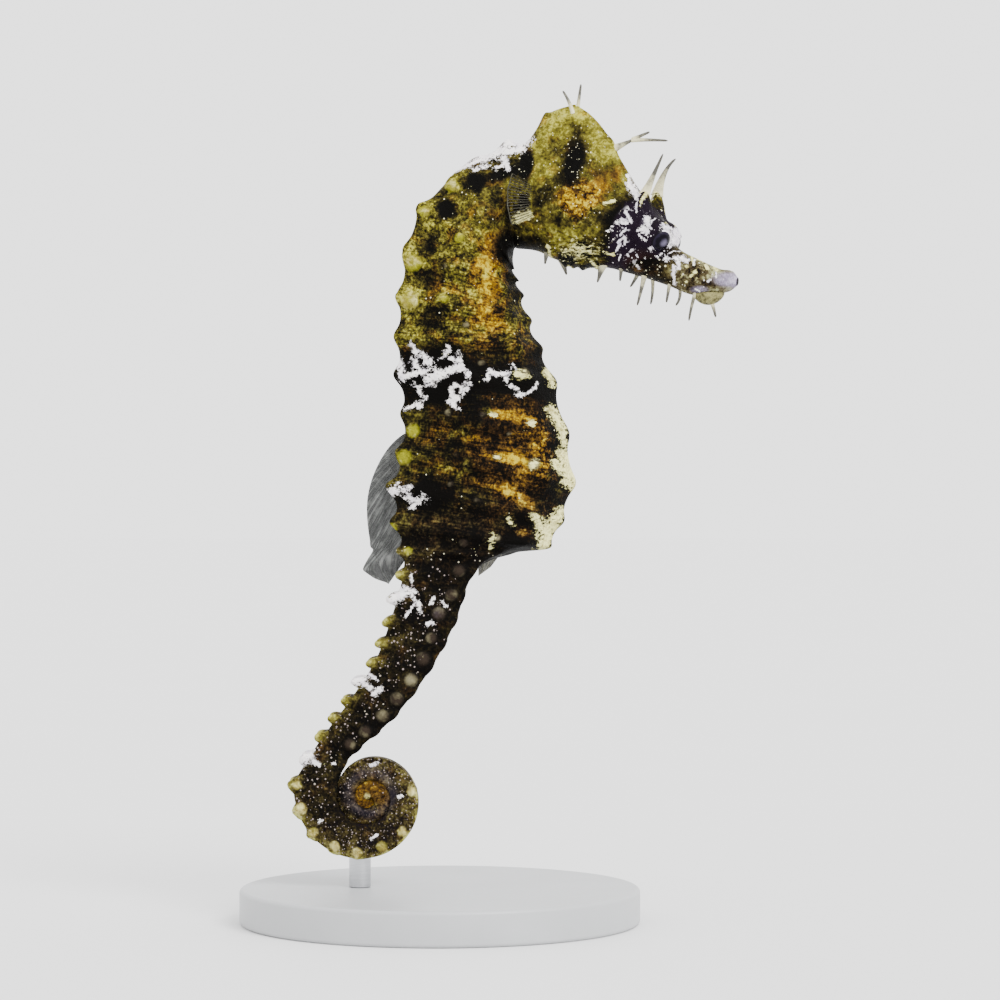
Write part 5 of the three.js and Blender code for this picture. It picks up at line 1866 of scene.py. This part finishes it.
@dataclass
class LowerJaw:
    """The small wedge of jaw below the tip of the snout."""

    form: BodyForm
    hinge: tuple[float, float] = (31.0, 75.15)
    front: tuple[float, float] = (34.6, 75.25)
    # Half height below and above its middle line, how far that line sags, half width.
    drop: float = 1.3
    lift: float = 0.35
    sag: float = 0.25
    half: float = 1.15
    # Part of the half turn of the sine that is used.
    span: tuple[float, float] = (0.04, 0.97)
    rows: int = 40
    columns: int = 40

    def build(self) -> bpy.types.Object:
        """Makes the jaw.

        Returns:
            The piece: width and height follow the root of a sine from hinge to front.
        """
        t = np.linspace(0.0, 1.0, self.rows)[:, None]
        swell = np.sqrt(np.sin(np.pi * mix(*self.span, t)))
        spin = 2.0 * np.pi * np.arange(self.columns)[None, :] / self.columns
        down = np.where(np.sin(spin) < 0, self.drop, self.lift)
        x = mix(self.hinge[0], self.front[0], t) + 0.0 * spin
        z = mix(self.hinge[1], self.front[1], t) + down * swell * np.sin(spin) - self.sag * swell
        loops = np.stack([x, self.half * swell * np.cos(spin), z], axis=-1)
        points, faces = closed_tube(self.form.turn.apply(loops, 1.0))
        piece = build_mesh("jaw", points, faces)
        piece.data.materials.append(JawFinish().material())
        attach(piece, "root")
        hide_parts("lower_jaw")
        return piece


# ---------------------------------------------------------------- studio
@dataclass
class Studio:
    """Pale floor, soft lights and the camera."""

    aim: tuple[float, float] = (7.2, 50.64)
    distance: float = 400.0
    lens: float = 120.0
    sensor: float = 36.0
    # Floor: radius in metres and number of sides.
    floor_radius: float = 4.0
    floor_sides: int = 96
    # Key light: strength, width of its disc, then its tilt and turn, all three in degrees.
    key_strength: float = 4.2
    key_width: float = 28.0
    key_tilt: float = 48.0
    key_turn: float = 38.0
    surround: float = 2.5

    def floor(self) -> bpy.types.Object:
        """The floor under the stand.

        Returns:
            A plain pale disc.
        """
        sides = self.floor_sides
        turn = 2.0 * np.pi * np.arange(sides) / sides
        ring = np.stack([np.cos(turn), np.sin(turn), np.zeros_like(turn)], axis=1) * self.floor_radius / MM
        points = np.concatenate([ring, [[0.0, 0.0, 0.0]]])
        piece = build_mesh("floor", points, cap_faces(sides, 0, sides, True).tolist())
        piece.data.materials.append(FloorFinish().material())
        return piece

    def lights(self) -> None:
        """A broad soft key from the upper right, and a pale surround all round."""
        key = bpy.data.lights.new("key", "SUN")
        key.energy = self.key_strength
        key.angle = math.radians(self.key_width)
        holder = bpy.data.objects.new("key", key)
        bpy.context.scene.collection.objects.link(holder)
        holder.rotation_euler = (math.radians(self.key_tilt), 0.0, math.radians(self.key_turn))
        world = bpy.data.worlds.new("surround")
        world.use_nodes = True
        sky = world.node_tree.nodes["Background"]
        sky.inputs[0].default_value = (1.0, 1.0, 1.0, 1.0)
        sky.inputs[1].default_value = self.surround
        bpy.context.scene.world = world

    def camera(self) -> None:
        """Long level lens on the animal's right side."""
        lens = bpy.data.cameras.new("view")
        lens.lens = self.lens
        lens.sensor_width = self.sensor
        lens.clip_start = 0.01
        holder = bpy.data.objects.new("view", lens)
        bpy.context.scene.collection.objects.link(holder)
        holder.location = (self.aim[0] * MM, -self.distance * MM, self.aim[1] * MM)
        holder.rotation_euler = (math.pi / 2, 0.0, 0.0)
        bpy.context.scene.camera = holder


@dataclass
class Stand:
    """Round base and short rod, each turned smooth in place of its solid."""

    base_edge: float = 0.5
    rod_edge: float = 0.1
    columns: int = 160
    # Loops over a flat end and over a rounded edge, and the first loop's share of the flat end.
    flat_loops: int = 8
    edge_loops: int = 10
    first: float = 0.12

    def turned(self, node: str, material: bpy.types.Material, rounding: float) -> bpy.types.Object:
        """One lathe piece filling a solid's box.

        Args:
            node: the solid, and the start of the piece's name.
            material: its finish.
            rounding: radius of its two edges in millimetres.

        Returns:
            The piece: circles of radius r(s) at height z(s) round the box's middle line, where the
            profile runs in along the foot, round an edge, up the side, round the other edge and in.
        """
        low, high = (np.array(corner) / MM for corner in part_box(node))
        middle = (low + high) / 2.0
        radius = (high[0] - low[0]) / 2.0
        turn = np.radians(np.linspace(0.0, 90.0, self.edge_loops))
        inward = np.linspace(self.first, 1.0, self.flat_loops) * (radius - rounding)
        out = np.concatenate([inward, radius - rounding + rounding * np.sin(turn)])
        up = np.concatenate([np.full(self.flat_loops, low[2]), low[2] + rounding - rounding * np.cos(turn)])
        out = np.concatenate([out, out[::-1]])
        up = np.concatenate([up, low[2] + high[2] - up[::-1]])
        spin = 2.0 * np.pi * np.arange(self.columns) / self.columns
        loops = np.stack([middle[0] + out[:, None] * np.cos(spin), middle[1] + out[:, None] * np.sin(spin),
                          np.repeat(up[:, None], self.columns, 1)], axis=-1)
        points, faces = closed_tube(loops)
        piece = build_mesh(f"{node}_turned", points, faces)
        piece.data.materials.append(material)
        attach(piece, "root")
        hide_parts(node)
        return piece

    def build(self) -> list[bpy.types.Object]:
        """Makes the stand.

        Returns:
            Base and rod.
        """
        finish = StandFinish()
        return [self.turned("stand_base", finish.base(), self.base_edge),
                self.turned("stand_rod", finish.rod(), self.rod_edge)]


def main() -> None:
    """Builds every piece in order and reports each."""
    logging.basicConfig(level=logging.INFO)
    form = BodyForm()
    studio = Studio()
    studio.camera()
    studio.lights()
    fins = Fins(form)
    eyes = Eyes(form)
    pieces = [
        Skin(form).build(),
        eyes.build(-1, "eye_right"),
        eyes.build(1, "eye_left"),
        fins.dorsal().build(),
        fins.anal().build(),
        fins.pectoral(-1, "right").build(),
        fins.pectoral(1, "left").build(),
        Filaments(form).build(),
        LowerJaw(form).build(),
        *Stand().build(),
        studio.floor(),
    ]
    for piece in pieces:
        LOG.info("built %s with %d faces", piece.name, len(piece.data.polygons))


if __name__ == "__main__":
    main()
